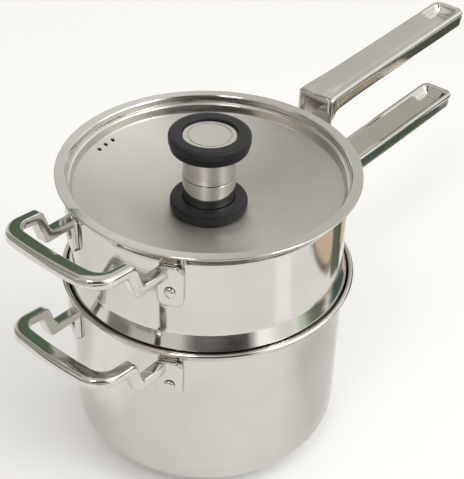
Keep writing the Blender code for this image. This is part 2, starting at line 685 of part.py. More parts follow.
def helper_handle_sections(wall_radius, neck_top):
    """Rings of half a helper handle, from the middle of its bar to its neck at the wall."""
    middle, rows = helper_bar_rows(wall_radius)
    tilt = tan(HELPER_SLOPE)
    bar_top = neck_top + HELPER_BAR_RISE
    sections = []
    for reach, side, angle, width, edge in rows:
        point = Vector((reach, side, bar_top + (reach - middle) * tilt))
        across = Vector((cos(angle), sin(angle), cos(angle) * tilt)).normalized()
        down = Vector((tilt, 0.0, -1.0)).normalized()
        sections.append(rod_section(point, across, down, width, HELPER_THICKNESS,
                                    HELPER_INNER_EDGE, edge))
    riser = wall_radius + HELPER_NECK_START
    outer = riser + HELPER_RISER
    shoulder = outer + 0.5 * HELPER_RISER
    top = bar_top + (shoulder - middle) * tilt
    height = top - neck_top
    low = neck_top - HELPER_NECK_THICKNESS
    neck_end = sqrt(wall_radius ** 2 - HELPER_SPREAD ** 2) - NECK_OVERRUN
    under = top - HELPER_THICKNESS
    run = HELPER_RISER
    deep = HELPER_THICKNESS
    profile = [
        ((shoulder, top), (shoulder + 0.4 * run, under), 0.9),
        ((shoulder - 0.5 * run, top - 0.15 * deep), (outer + 0.6 * run, under - 0.1 * deep), 0.7),
        ((shoulder - 0.85 * run, top - 0.43 * deep), (outer + 0.4 * run, under - 0.35 * deep), 0.5),
        ((shoulder - 1.06 * run, top - 0.42 * height), (outer + 0.2 * run, neck_top + 0.1 * height), 0.35),
        ((riser + 0.15 * run, neck_top + 0.16 * height), (outer + 0.03 * run, low + 0.3 * height), 0.25),
        ((riser - 0.06 * run, neck_top + 0.02 * height), (riser + 0.6 * run, low + 0.1 * deep), 0.2),
        ((riser - 0.45 * run, neck_top), (riser - 0.2 * run, low), 0.2),
        ((neck_end, neck_top), (neck_end, low), 0.2),
    ]
    for top_point, low_point, softness in profile:
        point = Vector((top_point[0], HELPER_SPREAD, top_point[1]))
        down = Vector((low_point[0], HELPER_SPREAD, low_point[1])) - point
        sections.append(rod_section(point, Vector((0.0, 1.0, 0.0)), down.normalized(),
                                    HELPER_ARM_DEPTH, down.length, HELPER_INNER_EDGE,
                                    softness * HELPER_ARM_EDGE))
    return sections


def helper_handle(vessel, wall_radius, rim, parent):
    """C-shaped helper handle on two riveted plates, on the side away from the long handle."""
    name = vessel + "_helper_handle"
    neck_top = rim - HELPER_DROP
    half = helper_handle_sections(wall_radius, neck_top)
    mirrored = []
    for section in half[:0:-1]:
        flipped = [Vector((p.x, -p.y, p.z)) for p in section]
        mirrored.append(flipped)
    turn = Matrix.Rotation(pi, 4, "Z")
    sections = [[turn @ p for p in section] for section in mirrored + half]
    obj = add_object(name, loft(name, sections), STEEL)
    adopt(obj, parent)
    middle = neck_top + HELPER_PLATE_RISE - HELPER_PLATE_HEIGHT / 2
    sites = []
    for side in (-1, 1):
        azimuth = pi + side * HELPER_PLATE_AZIMUTH
        wall_plate(obj, f"{name}_plate_{side}", azimuth, wall_radius, middle,
                   HELPER_PLATE_HALF_WIDTH, HELPER_PLATE_HEIGHT / 2)
        sites.append((azimuth, 0.0, neck_top - HELPER_RIVET_DROP))
    clear_of_wall(obj, name + "_wall_cut", wall_radius, middle, HELPER_PLATE_HEIGHT / 2)
    return obj, sites


def fasten(body, wall_radius, wall, handle, sites, parent):
    """Bore the handle and the wall at each site and put a rivet there."""
    for number, (azimuth, side, height) in enumerate(sites, 1):
        name = f"{handle.name}_rivet_{number}"
        frame = outward_frame(azimuth, wall_radius, height) @ Matrix.Translation((side, 0.0, 0.0))
        rivet_hole(handle, name + "_bore", frame)
        rivet_hole(body, name + "_wall_bore", frame)
        inner_radius = wall_radius - wall
        lowest_wall = sqrt((inner_radius * cos(pi / BODY_STEPS)) ** 2
                           - (abs(side) + RIVET_HEAD_RADIUS) ** 2)
        rivet(name, frame, lowest_wall - GAP - wall_radius, parent)


def fit_handles(vessel, body, wall_radius, wall, rim, lift, slope, parent):
    """Put both riveted handles on a vessel."""
    handle, sites = long_handle(vessel, wall_radius, rim, lift, slope, parent)
    fasten(body, wall_radius, wall, handle, sites, parent)
    handle, sites = helper_handle(vessel, wall_radius, rim, parent)
    fasten(body, wall_radius, wall, handle, sites, parent)


def base_disc(parent):
    """Aluminium core and the steel cap pressed over it, under the pot's floor."""
    inner = BASE_RADIUS - BASE_CAP_THICKNESS
    top = SHELL_BOTTOM - GAP
    core_low = BASE_CAP_THICKNESS + GAP
    core_outline = [(0.0, core_low), (inner - GAP, core_low),
                    (inner - GAP, core_low + BASE_CORE_THICKNESS - GAP),
                    (0.0, core_low + BASE_CORE_THICKNESS - GAP)]
    core = add_object("base_core", lathe("base_core", core_outline, BODY_STEPS), ALUMINIUM)
    cap_outline = [
        (0.0, 0.0),
        (BASE_RADIUS - BASE_EDGE, 0.0),
        (BASE_RADIUS - 0.27 * BASE_EDGE, 0.27 * BASE_EDGE),
        (BASE_RADIUS, BASE_EDGE),
        (BASE_RADIUS, top),
        (inner, top),
        (inner, BASE_CAP_THICKNESS),
        (0.0, BASE_CAP_THICKNESS),
    ]
    cap = add_object("base_cap", lathe("base_cap", cap_outline, BODY_STEPS), BRUSHED)
    for obj in (core, cap):
        adopt(obj, parent)


def pot(parent):
    body = add_object("pot_body", lathe("pot_body", pot_outline(), BODY_STEPS), STEEL)
    adopt(body, parent)
    base_disc(parent)
    fit_handles("pot", body, POT_RADIUS, POT_WALL, POT_RIM, POT_LONG_LIFT,
                POT_LONG_SLOPE, parent)


def steam_holes(body):
    """Rings of holes through the steamer's floor."""
    floor = POT_RIM - STEAMER_DEPTH_IN_POT
    outline = [(0.0, -THROUGH), (STEAM_HOLE_RADIUS, -THROUGH),
               (STEAM_HOLE_RADIUS, THROUGH), (0.0, THROUGH)]
    places = [(0.0, 0.0)]
    for ring in range(1, STEAM_HOLE_RINGS + 1):
        for i in range(6 * ring):
            places.append((ring * STEAM_HOLE_PITCH, 2 * pi * i / (6 * ring)))
    bm = bmesh.new()
    for radius, azimuth in places:
        mesh = lathe("steam_hole", outline, HOLE_SIDES)
        turn = Matrix.Rotation(azimuth + pi / BODY_STEPS, 4, "Z")
        mesh.transform(turn @ Matrix.Translation((radius, 0.0, floor)))
        bm.from_mesh(mesh)
        bpy.data.meshes.remove(mesh)
    boolean(body, cutter("steam_holes", mesh_from(bm, "steam_holes")))


def steamer(parent):
    body = add_object("steamer_body", lathe("steamer_body", steamer_outline(), BODY_STEPS), STEEL)
    adopt(body, parent)
    steam_holes(body)
    fit_handles("steamer", body, STEAMER_RADIUS, STEAMER_WALL, STEAMER_RIM, STEAMER_LONG_LIFT,
                STEAMER_LONG_SLOPE, parent)


def lid_panel(parent):
    panel = add_object("lid_panel", lathe("lid_panel", lid_outline(), BODY_STEPS), BRUSHED)
    adopt(panel, parent)
    outline = [(0.0, -THROUGH), (VENT_RADIUS, -THROUGH), (VENT_RADIUS, THROUGH), (0.0, THROUGH)]
    for i in range(VENT_COUNT):
        azimuth = VENT_MIDDLE_AZIMUTH + (i - (VENT_COUNT - 1) / 2) * VENT_PITCH
        spot = (VENT_CIRCLE * cos(azimuth), VENT_CIRCLE * sin(azimuth), dish_height(VENT_CIRCLE))
        name = f"vent_{i + 1}"
        boolean(panel, cutter(name, lathe(name, outline, SMALL_STEPS), Matrix.Translation(spot)))


def knob_piece(name, outline, steps, finish, parent):
    raised = [(radius, height + LID_SEAT) for radius, height in outline]
    obj = add_object(name, lathe(name, raised, steps), finish)
    adopt(obj, parent)
    return obj


def knob(parent):
    """Black ring, two steel sleeves, black ring and steel cap, held by one screw."""
    bore = SCREW_RADIUS + GAP
    foot = GAP
    base_top = foot + KNOB_BASE_THICKNESS
    sleeve_low = base_top - SLEEVE_SOCKET
    seam = SLEEVE_SEAM_RISE
    ring_low = KNOB_HEIGHT - KNOB_TOP_THICKNESS
    sleeve_high = ring_low + SLEEVE_SOCKET
    cap_top = KNOB_HEIGHT - CAP_RECESS
    cap_low = cap_top - CAP_THICKNESS
    sleeve_inside = SLEEVE_RADIUS - SLEEVE_WALL
    ring_bore = CAP_BOSS_RADIUS + GAP
    edge = KNOB_EDGE
    base_outline = [
        (bore, foot),
        (KNOB_BASE_RADIUS - 0.53 * edge, foot),
        (KNOB_BASE_RADIUS - 0.13 * edge, foot + 0.27 * edge),
        (KNOB_BASE_RADIUS, foot + 0.73 * edge),
        (KNOB_BASE_RADIUS, base_top - 0.67 * edge),
        (KNOB_BASE_RADIUS - 0.27 * edge, base_top - 0.5 * edge),
        (KNOB_BASE_RADIUS - 0.33 * edge, base_top - 0.27 * edge),
        (KNOB_BASE_RADIUS - 0.8 * edge, base_top - 0.07 * edge),
        (KNOB_BASE_RADIUS - 1.33 * edge, base_top),
        (SLEEVE_FOOT_RADIUS + GAP + 0.2 * edge, base_top),
        (SLEEVE_FOOT_RADIUS + GAP, base_top - 0.17 * edge),
        (SLEEVE_FOOT_RADIUS + GAP, sleeve_low - GAP),
        (bore, sleeve_low - GAP),
    ]
    knob_piece("knob_base_ring", base_outline, KNOB_STEPS, BLACK, parent)
    lap = SLEEVE_LAP
    wall = SLEEVE_WALL
    lower_outline = [
        (bore, sleeve_low),
        (SLEEVE_FOOT_RADIUS, sleeve_low),
        (SLEEVE_FOOT_RADIUS, base_top + 0.3 * wall),
        (SLEEVE_FOOT_RADIUS + 0.45 * (SLEEVE_SEAM_RADIUS - SLEEVE_FOOT_RADIUS),
         base_top + 0.42 * (seam - base_top)),
        (SLEEVE_SEAM_RADIUS - 0.06 * wall, seam - 1.7 * lap),
        (SLEEVE_SEAM_RADIUS, seam - 0.6 * lap),
        (SLEEVE_SEAM_RADIUS - 0.25 * wall, seam - GAP),
        (sleeve_inside - GAP, seam - GAP),
        (sleeve_inside - GAP, seam + lap),
        (sleeve_inside - GAP - wall, seam + lap),
        (SLEEVE_FOOT_RADIUS - wall, base_top + 0.3 * wall),
        (SLEEVE_FOOT_RADIUS - wall, sleeve_low + wall),
        (bore, sleeve_low + wall),
    ]
    knob_piece("knob_lower_sleeve", lower_outline, KNOB_STEPS, STEEL, parent)
    upper_outline = [
        (sleeve_inside, seam),
        (SLEEVE_SEAM_RADIUS - 0.2 * wall, seam),
        (SLEEVE_SEAM_RADIUS - 0.12 * wall, seam + 0.3 * lap),
        (SLEEVE_RADIUS, seam + lap),
        (SLEEVE_RADIUS, sleeve_high),
        (sleeve_inside, sleeve_high),
    ]
    knob_piece("knob_upper_sleeve", upper_outline, KNOB_STEPS, STEEL, parent)
    groove = KNOB_GROOVE
    top_outline = [
        (ring_bore, sleeve_high + GAP),
        (SLEEVE_RADIUS + GAP, sleeve_high + GAP),
        (SLEEVE_RADIUS + GAP, ring_low + 0.13 * edge),
        (SLEEVE_RADIUS + GAP + 0.17 * edge, ring_low),
        (KNOB_TOP_RADIUS - edge, ring_low + 0.07 * edge),
        (KNOB_TOP_RADIUS - 0.6 * edge, ring_low + 0.33 * edge),
        (KNOB_TOP_RADIUS - KNOB_STEP, ring_low + 0.63 * edge),
        (KNOB_TOP_RADIUS - 0.5 * KNOB_STEP - groove, ring_low + 0.77 * edge),
        (KNOB_TOP_RADIUS - 0.3 * KNOB_STEP, ring_low + 0.93 * edge),
        (KNOB_TOP_RADIUS - 0.25 * KNOB_STEP, ring_low + 1.23 * edge),
        (KNOB_TOP_RADIUS - groove, ring_low + 1.37 * edge),
        (KNOB_TOP_RADIUS, ring_low + 1.6 * edge),
        (KNOB_TOP_RADIUS, KNOB_HEIGHT - 0.93 * edge),
        (KNOB_TOP_RADIUS - 0.3 * edge, KNOB_HEIGHT - 0.33 * edge),
        (KNOB_TOP_RADIUS - edge, KNOB_HEIGHT),
        (CAP_RADIUS + GAP + 0.4 * edge, KNOB_HEIGHT),
        (CAP_RADIUS + GAP, KNOB_HEIGHT - 0.27 * edge),
        (CAP_RADIUS + GAP, cap_low - GAP),
        (ring_bore, cap_low - GAP),
    ]
    knob_piece("knob_top_ring", top_outline, KNOB_STEPS, BLACK, parent)
    boss_low = cap_low - CAP_BOSS_LENGTH
    screw_top = boss_low + SCREW_GRIP
    cap_outline = [
        (bore, boss_low),
        (CAP_BOSS_RADIUS, boss_low),
        (CAP_BOSS_RADIUS, cap_low),
        (CAP_RADIUS, cap_low),
        (CAP_RADIUS, cap_top - 0.6 * groove),
        (CAP_RADIUS - 0.6 * groove, cap_top),
        (CAP_GROOVE_RADIUS + 1.4 * groove, cap_top),
        (CAP_GROOVE_RADIUS, cap_top - groove),
        (CAP_GROOVE_RADIUS - 1.4 * groove, cap_top),
        (0.0, cap_top),
        (0.0, screw_top + SCREW_TIP_GAP),
        (bore, screw_top + SCREW_TIP_GAP),
    ]
    knob_piece("knob_cap_disc", cap_outline, KNOB_STEPS, STEEL, parent)
    washer_top = -LID_SHEET - GAP
    washer_low = washer_top - WASHER_THICKNESS
    washer_outline = [(bore, washer_low), (WASHER_RADIUS, washer_low),
                      (WASHER_RADIUS, washer_top), (bore, washer_top)]
    knob_piece("knob_washer", washer_outline, SMALL_STEPS, BRUSHED, parent)
    head_top = washer_low - GAP
    screw_outline = [
        (0.0, head_top - SCREW_HEAD_HEIGHT),
        (0.78 * SCREW_HEAD_RADIUS, head_top - SCREW_HEAD_HEIGHT),
        (SCREW_HEAD_RADIUS, head_top - 0.45 * SCREW_HEAD_HEIGHT),
        (SCREW_HEAD_RADIUS, head_top),
        (SCREW_RADIUS, head_top),
        (SCREW_RADIUS, screw_top),
        (0.0, screw_top),
    ]
    knob_piece("knob_screw", screw_outline, SMALL_STEPS, BRUSHED, parent)


def frame_empty(name, height, parent):
    """Empty on the lift axis that carries one body's pieces."""
    empty = bpy.data.objects.new(name, None)
    empty.location = (0.0, 0.0, height)
    bpy.context.scene.collection.objects.link(empty)
    if parent is not None:
        adopt(empty, parent)
    bpy.context.view_layer.update()
    return empty


def main():
    clear_scene()
    pot_frame = frame_empty("pot_frame", 0.0, None)
    steamer_frame = frame_empty("steamer_frame", POT_RIM, pot_frame)
    lid_frame = frame_empty("lid_frame", STEAMER_RIM, steamer_frame)
    pot(pot_frame)
    steamer(steamer_frame)
    lid_panel(lid_frame)
    knob(lid_frame)
    bpy.context.view_layer.update()


main()
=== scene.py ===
"""Looks of the steamer pot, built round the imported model, in metres."""
from math import acos, atan2, cos, pi, radians, sin, sqrt, tan

import bmesh
import bpy
from mathutils import Matrix, Vector


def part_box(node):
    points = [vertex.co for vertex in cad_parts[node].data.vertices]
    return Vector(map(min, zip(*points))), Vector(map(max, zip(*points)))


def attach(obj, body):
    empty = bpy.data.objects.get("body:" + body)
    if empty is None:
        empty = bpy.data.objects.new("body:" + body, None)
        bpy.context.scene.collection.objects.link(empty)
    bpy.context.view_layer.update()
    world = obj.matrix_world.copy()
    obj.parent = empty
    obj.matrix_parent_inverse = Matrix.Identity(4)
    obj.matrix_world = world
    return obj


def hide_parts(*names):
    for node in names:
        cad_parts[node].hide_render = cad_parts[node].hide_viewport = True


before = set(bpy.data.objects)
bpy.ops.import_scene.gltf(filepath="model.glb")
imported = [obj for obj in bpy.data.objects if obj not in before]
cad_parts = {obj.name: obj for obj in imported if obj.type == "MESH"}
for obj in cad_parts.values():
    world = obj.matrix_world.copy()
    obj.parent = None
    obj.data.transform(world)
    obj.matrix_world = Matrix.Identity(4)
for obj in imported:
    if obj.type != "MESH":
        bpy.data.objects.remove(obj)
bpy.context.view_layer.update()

MM = 0.001
GAP = 0.3 * MM

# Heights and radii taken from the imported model
POT_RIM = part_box("pot_body")[1][2]
SHELL_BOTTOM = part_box("pot_body")[0][2]
STEAMER_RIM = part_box("steamer_body")[1][2]
STEAMER_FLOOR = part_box("steamer_body")[0][2]
LID_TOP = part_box("lid_panel")[1][2]
LID_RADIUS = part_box("lid_panel")[1][0]
BASE_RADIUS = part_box("base_cap")[1][0]
TIP_X = {"pot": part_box("pot_long_handle")[1][0], "steamer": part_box("steamer_long_handle")[1][0]}

# Vessels
POT_RADIUS = 89.0 * MM
POT_WALL = 1.2 * MM
POT_CORNER_ACROSS = 26.0 * MM
POT_CORNER_UP = 18.5 * MM
STEAMER_WALL = 1.0 * MM
NECK_CLEARANCE = 0.94 * MM
STEAMER_CORNER = 6.0 * MM
RIM_STEP = 3.4 * MM
RIM_LEDGE_DEPTH = 4.2 * MM
RIM_FLARE_HEIGHT = 3.6 * MM
POT_LIP_OVERHANG = 5.8 * MM
STEAMER_LIP_OVERHANG = 5.2 * MM
LIP_THICKNESS = 2.2 * MM
SKIRT_CLEARANCE = 0.9 * MM
BEAD_TOP_RISE = 9.9 * MM
BEAD_EDGE_RISE = 0.5 * MM
LID_OVERHANG = 2.34 * MM
POT_INSIDE = POT_RADIUS - POT_WALL
NECK_RADIUS = POT_INSIDE - NECK_CLEARANCE
NECK_INSIDE = NECK_RADIUS - STEAMER_WALL
STEAMER_RADIUS = LID_RADIUS - LID_OVERHANG - STEAMER_LIP_OVERHANG
STEAMER_INSIDE = STEAMER_RADIUS - STEAMER_WALL
STEAM_HOLE_RADIUS = 3.0 * MM
STEAM_HOLE_PITCH = 19.0 * MM
STEAM_HOLE_RINGS = 3

# Lid and knob
LID_SHEET = 1.0 * MM
LID_BRIM_WIDTH = 6.8 * MM
LID_STEP_DEPTH = 5.2 * MM
LID_STEP_WIDTH = 2.2 * MM
LID_RECESS_DEPTH = 11.6 * MM
LID_DISH_SAG = 18.8 * MM
LID_SEAT_RADIUS = 26.0 * MM
DISH_EDGE = LID_TOP - LID_RECESS_DEPTH
LID_SEAT = DISH_EDGE - LID_DISH_SAG
VENT_RADIUS = 1.4 * MM
VENT_CIRCLE = 80.2 * MM
VENT_MIDDLE_AZIMUTH = radians(98.1)
VENT_PITCH = radians(5.0)
VENT_COUNT = 3
KNOB_TOP_RADIUS = 25.3 * MM
KNOB_TOP_THICKNESS = 10.2 * MM
KNOB_BASE_RADIUS = 24.4 * MM
KNOB_BASE_THICKNESS = 8.4 * MM
KNOB_HEIGHT = 54.0 * MM
SLEEVE_RADIUS = 16.4 * MM
SLEEVE_SEAM_RADIUS = 17.0 * MM
SLEEVE_FOOT_RADIUS = 16.0 * MM
SLEEVE_WALL = 1.6 * MM
SLEEVE_SEAM_RISE = 25.6 * MM
SLEEVE_SOCKET = 2.6 * MM
SLEEVE_LAP = 2.0 * MM
KNOB_STEP = 1.2 * MM
KNOB_GROOVE = 0.8 * MM
CAP_RADIUS = 16.7 * MM
CAP_THICKNESS = 2.2 * MM
CAP_RECESS = 1.5 * MM
CAP_GROOVE_RADIUS = 13.3 * MM
CAP_BOSS_RADIUS = 5.0 * MM
CAP_BOSS_LENGTH = 12.0 * MM
SCREW_RADIUS = 2.4 * MM
SCREW_HEAD_RADIUS = 4.6 * MM
SCREW_HEAD_HEIGHT = 2.4 * MM
SCREW_GRIP = 8.0 * MM
SCREW_TIP_GAP = 0.8 * MM
WASHER_RADIUS = 7.0 * MM
WASHER_THICKNESS = 1.0 * MM

# Long handles
LONG_STANDOFF = 21.0 * MM
LONG_SAG = 0.2 * MM
LONG_HALF_WIDTH = 12.7 * MM
LONG_TIP_FLARE = 0.6 * MM
LONG_BOTTOM_INSET = 0.9 * MM
LONG_THICKNESS = 12.6 * MM
LONG_SHANK_THICKNESS = 6.2 * MM
LONG_SHANK_INSET = 3.0 * MM
LONG_HEEL_FLARE = 1.2 * MM
LONG_HEEL_RUN = 50.0 * MM
LONG_CREST = {"pot": 1.8 * MM, "steamer": 2.6 * MM}
LONG_EDGE = {"pot": 1.8 * MM, "steamer": 2.8 * MM}
LONG_BORDER = {"pot": 2.7 * MM, "steamer": 3.6 * MM}
LONG_RAMP = {"pot": 1.8 * MM, "steamer": 6.0 * MM}
LONG_DISH = 0.7 * MM
LONG_RIB = 2.2 * MM
LONG_RIB_EDGE = 1.0 * MM
LONG_SHANK_DISH = 2.4 * MM
LONG_TIP_RADIUS = 6.5 * MM
LONG_TIP_EDGE = 1.6 * MM
LONG_SHANK_DROP = 25.0 * MM
LONG_NECK_THICKNESS = 7.0 * MM
LONG_NECK_INSET = 3.0 * MM
LONG_PLATE_HEIGHT = 27.0 * MM
LONG_PLATE_HALF_WIDTH = 13.0 * MM
LONG_PLATE_RISE = 1.0 * MM
LONG_RIVET_SPREAD = 8.0 * MM
LONG_RIVET_DROP = 15.5 * MM
LONG_LIFT = {"pot": 9.0 * MM, "steamer": 7.6 * MM}
LONG_SLOPE = {"pot": radians(1.8), "steamer": radians(2.6)}
POCKET_LENGTH = 24.0 * MM
POCKET_WIDTH = 20.0 * MM
POCKET_CORNER = 5.0 * MM
POCKET_DEPTH = 5.0 * MM
POCKET_TO_TIP = 4.2 * MM
POCKET_WALL_RUN = 5.6 * MM

# Helper handles
HELPER_REACH = 49.4 * MM
HELPER_BAR_DEPTH = 9.8 * MM
HELPER_ARM_DEPTH = 7.2 * MM
HELPER_SPREAD = 37.0 * MM
HELPER_CORNER = 13.0 * MM
HELPER_BOW = 2.4 * MM
HELPER_SLOPE = radians(5.0)
HELPER_THICKNESS = 7.0 * MM
HELPER_INNER_EDGE = 0.8 * MM
HELPER_OUTER_EDGE = 3.0 * MM
HELPER_ARM_EDGE = 3.0 * MM
HELPER_LOW_EDGE = 2.2 * MM
HELPER_BAR_RISE = 19.2 * MM
HELPER_NECK_START = 12.4 * MM
HELPER_RISER = 6.6 * MM
HELPER_NECK_THICKNESS = 6.6 * MM
HELPER_NECK_SOFTNESS = 0.4
HELPER_DROP = 11.8 * MM
HELPER_PLATE_HALF_WIDTH = 8.1 * MM
HELPER_PLATE_HEIGHT = 28.0 * MM
HELPER_PLATE_RISE = 1.8 * MM
HELPER_PLATE_AZIMUTH = radians(27.2)
HELPER_RIVET_DROP = 15.8 * MM

# Mounting plates and rivets
PLATE_THICKNESS = 3.0 * MM
PLATE_CORNER = 5.0 * MM
PLATE_EDGE = 1.0 * MM
RIVET_RADIUS = 1.9 * MM
RIVET_HEAD_RADIUS = 3.5 * MM
RIVET_HEAD_HEIGHT = 1.7 * MM
RIVET_INNER_HEAD = 1.0 * MM

# Fineness of the meshes
BODY_STEPS = 288
KNOB_STEPS = 160
SMALL_STEPS = 48
CORNER_STEPS = 6
SUPPORT = 0.35 * MM
CAD_BODY_STEPS = 44

# Steel, floor, lamps and the room that the steel mirrors
STEEL_COLOUR = (0.64, 0.62, 0.59)
FLOOR_COLOUR = (0.95, 0.95, 0.95)
FLOOR_GLOW = 0.12
GRAIN_TURNS = 3.0
GRAIN_SCALE = 900.0
SOFTBOX_SIZE = 0.35
SOFTBOX_POWER = 3.0
SOFTBOX_AIM = (0.0, 0.0, 0.1)
SOFTBOXES = {"key_softbox": (0.25, -1.1, 1.25), "top_softbox": (-0.85, -0.31, 1.55)}
ROOM_LEVELS = [
    (0, (1.00, 0.99, 0.96)),
    (12, (0.97, 0.96, 0.93)),
    (35, (0.93, 0.92, 0.89)),
    (55, (0.82, 0.81, 0.79)),
    (70, (0.70, 0.69, 0.67)),
    (90, (0.70, 0.69, 0.67)),
]
# Parts of the room: azimuth, half width and softness, lowest and highest elevation and softness, colour
ROOM_PARTS = [
    (25, 16, 4, 18, 48, 5, (0.69, 0.68, 0.63)),
    (66, 14, 6, 14, 60, 5, (0.58, 0.57, 0.54)),
    (116, 28, 6, 18, 62, 5, (0.38, 0.35, 0.31)),
    (176, 17, 5, 16, 58, 5, (0.62, 0.54, 0.46)),
    (230, 29, 5, 12, 60, 5, (0.10, 0.10, 0.09)),
    (296, 24, 5, 16, 66, 5, (1.95, 1.95, 1.88)),
    (348, 18, 5, 10, 60, 5, (1.20, 1.19, 1.14)),
    (190, 35, 12, 66, 80, 4, (1.15, 1.14, 1.08)),
    (150, 58, 5, -8, 12, 2, (0.07, 0.085, 0.06)),
    (325, 33, 5, -8, 12, 2, (0.07, 0.085, 0.06)),
]
GREEN = (0.115, 0.175, 0.11)
TAN = (0.78, 0.61, 0.44)
OLIVE = (0.55, 0.54, 0.47)
BROWN = (0.20, 0.17, 0.14)
LEAF = (0.07, 0.12, 0.085)
STUMP = (0.15, 0.155, 0.12)
BLACK = (0.02, 0.02, 0.018)
WHITE = (1.0, 1.0, 1.0)
# Two green cards: the place they are seen from, their azimuth, elevation and distance, their outlines
CARD_ORIGIN = (-0.12, 0.0, 0.15)
GREEN_PLACE = (radians(46), radians(32), 0.2)
GREEN_LEFT = [(-53, 50), (-53, 45), (-21, 33), (-8, 27), (0, 22), (0, 84), (-15, 73), (-36, 59)]
GREEN_RIGHT = [(0, 22), (8, 14), (9, 11), (-21, -9), (-24, -42), (66, -42), (66, 84), (0, 84)]
# Bands round the pot, dark and light: their radius, lower and upper edge, and rows of azimuth and level
SURROUND_RADIUS = 0.5
SURROUND_HEIGHTS = (0.002, 0.12)
POT_SURROUND = [
    (148, 0.30), (156, 0.24), (166, 0.23), (171, 0.60), (188, 0.68), (193, 0.80), (204, 0.78), (209, 0.36),
    (214, 0.16), (224, 0.13), (236, 0.05), (243, 0.06), (248, 0.12), (252, 0.60), (256, 1.35), (262, 1.35),
    (272, 1.0), (284, 0.97),
]
LEAF_SURROUND = [
    (284, 0.97), (291, 0.75), (297, 0.30), (306, 0.16), (328, 0.12), (350, 0.12), (362, 0.30),
]
LEAF_TINT = (0.85, 1.0, 0.80)
# Leaves on the floor: first and last azimuth, nearest and farthest radius
LEAF_SECTOR = (300, 354, 0.315, 0.46)
# Cards on the floor: height in millimetres, softness of the edge, colour and corners in millimetres
FLOOR_CARDS = {
    "pot_left": (1.0, 0.3, (1.04, 1.04, 1.02), [(-90, 100), (-160, 170), (-240, 50), (-135, 30)]),
    "pot_right": (1.0, 0.35, (0.74, 0.73, 0.70), [(5, -90), (45, -200), (105, -190), (150, -150), (165, -100),
                                                  (160, -50), (60, -60)]),
    "window": (1.2, 0.4, (1.22, 1.22, 1.20), [(0, -235), (50, -225), (70, -320), (0, -330)]),
    "table_edge": (1.6, 0.03, BROWN, [(166, -275), (169, -236), (177, -204), (192, -160), (204, -141),
                                      (226, -131), (262, -140), (300, -166), (245, -296)]),
    "table": (2.0, 0.02, TAN, [(177, -272), (180, -238), (189, -208), (204, -166), (213, -151), (226, -143),
                               (247, -150), (286, -174), (240, -286)]),
    "stump": (1.2, 0.0, STUMP, [(198, -128), (228, -142), (310, -178), (318, -118), (243, -93), (212, -88)]),
    "leaves": (1.2, 0.0, LEAF, [(212, -88), (243, -93), (318, -118), (322, -80), (250, -62), (218, -60)]),
    "stool": (1.2, 0.0, TAN, [(234, -60), (250, -62), (322, -80), (330, 0), (252, -18)]),
    "low_side_tan": (2.4, 0.0, TAN, [(250, -68), (470, -72), (470, -76), (250, -73.5)]),
    "low_side_leaf": (2.4, 0.0, LEAF, [(250, -73.5), (470, -76), (470, -86), (250, -80)]),
    "high_side_tan": (2.4, 0.0, TAN, [(350, -126), (640, -134), (640, -141), (350, -134)]),
    "high_side_leaf": (2.4, 0.0, LEAF, [(350, -134), (640, -141), (640, -152), (350, -142)]),
    "shade": (1.0, 0.1, BROWN, [(190, 200), (360, 200), (360, 400), (190, 400)]),
}
# Upright cards beside the lower handle whose reflections are painted shade: they darken its top to olive and
# paint a dark line in the crease beside its hollow
SIDE_CARDS = {
    "olive": (OLIVE, [(150, 60, 190), (420, 60, 205), (420, 60, 252), (150, 60, 238)]),
    "crease_right": (BLACK, [(255, 60, 124), (385, 60, 128), (385, 60, 178), (255, 60, 174)]),
}


# Geometry helpers

def corner_arc(before, here, after, radius, steps):
    """Points of the arc that rounds one corner, with a support point on each side."""
    back = Vector(before) - Vector(here)
    ahead = Vector(after) - Vector(here)
    back_length = back.length
    ahead_length = ahead.length
    back.normalize()
    ahead.normalize()
    half = acos(max(-1.0, min(1.0, back.dot(ahead)))) / 2
    if radius <= 0 or half > radians(89.0):
        return [Vector(here)]
    run = min(radius / tan(half), 0.45 * back_length, 0.45 * ahead_length)
    true_radius = run * tan(half)
    centre = Vector(here) + (back + ahead).normalized() * (true_radius / sin(half))
    first = Vector(here) + back * run - centre
    last = Vector(here) + ahead * run - centre
    start = atan2(first.y, first.x)
    turn = atan2(last.y, last.x) - start
    turn = (turn + pi) % (2 * pi) - pi
    points = [Vector(here) + back * (run + min(SUPPORT, 0.3 * (back_length - run)))]
    for i in range(steps + 1):
        angle = start + turn * i / steps
        points.append(centre + Vector((cos(angle), sin(angle))) * true_radius)
    points.append(Vector(here) + ahead * (run + min(SUPPORT, 0.3 * (ahead_length - run))))
    return points


def rounded(corners, steps=CORNER_STEPS, closed=False):
    """Round every (x, y, radius) corner of a line; the ends of an open line stay sharp."""
    points = []
    count = len(corners)
    for i, (x, y, radius) in enumerate(corners):
        if not closed and i in (0, count - 1):
            points.append(Vector((x, y)))
            continue
        before = corners[i - 1][:2]
        after = corners[(i + 1) % count][:2]
        points.extend(corner_arc(before, (x, y), after, radius, steps))
    return points


def finish_mesh(name, bm, sharp=None):
    bmesh.ops.recalc_face_normals(bm, faces=bm.faces)
    mesh = bpy.data.meshes.new(name)
    bm.to_mesh(mesh)
    bm.free()
    mesh.shade_smooth()
    if sharp is not None:
        mesh.set_sharp_from_angle(angle=sharp)
    return mesh


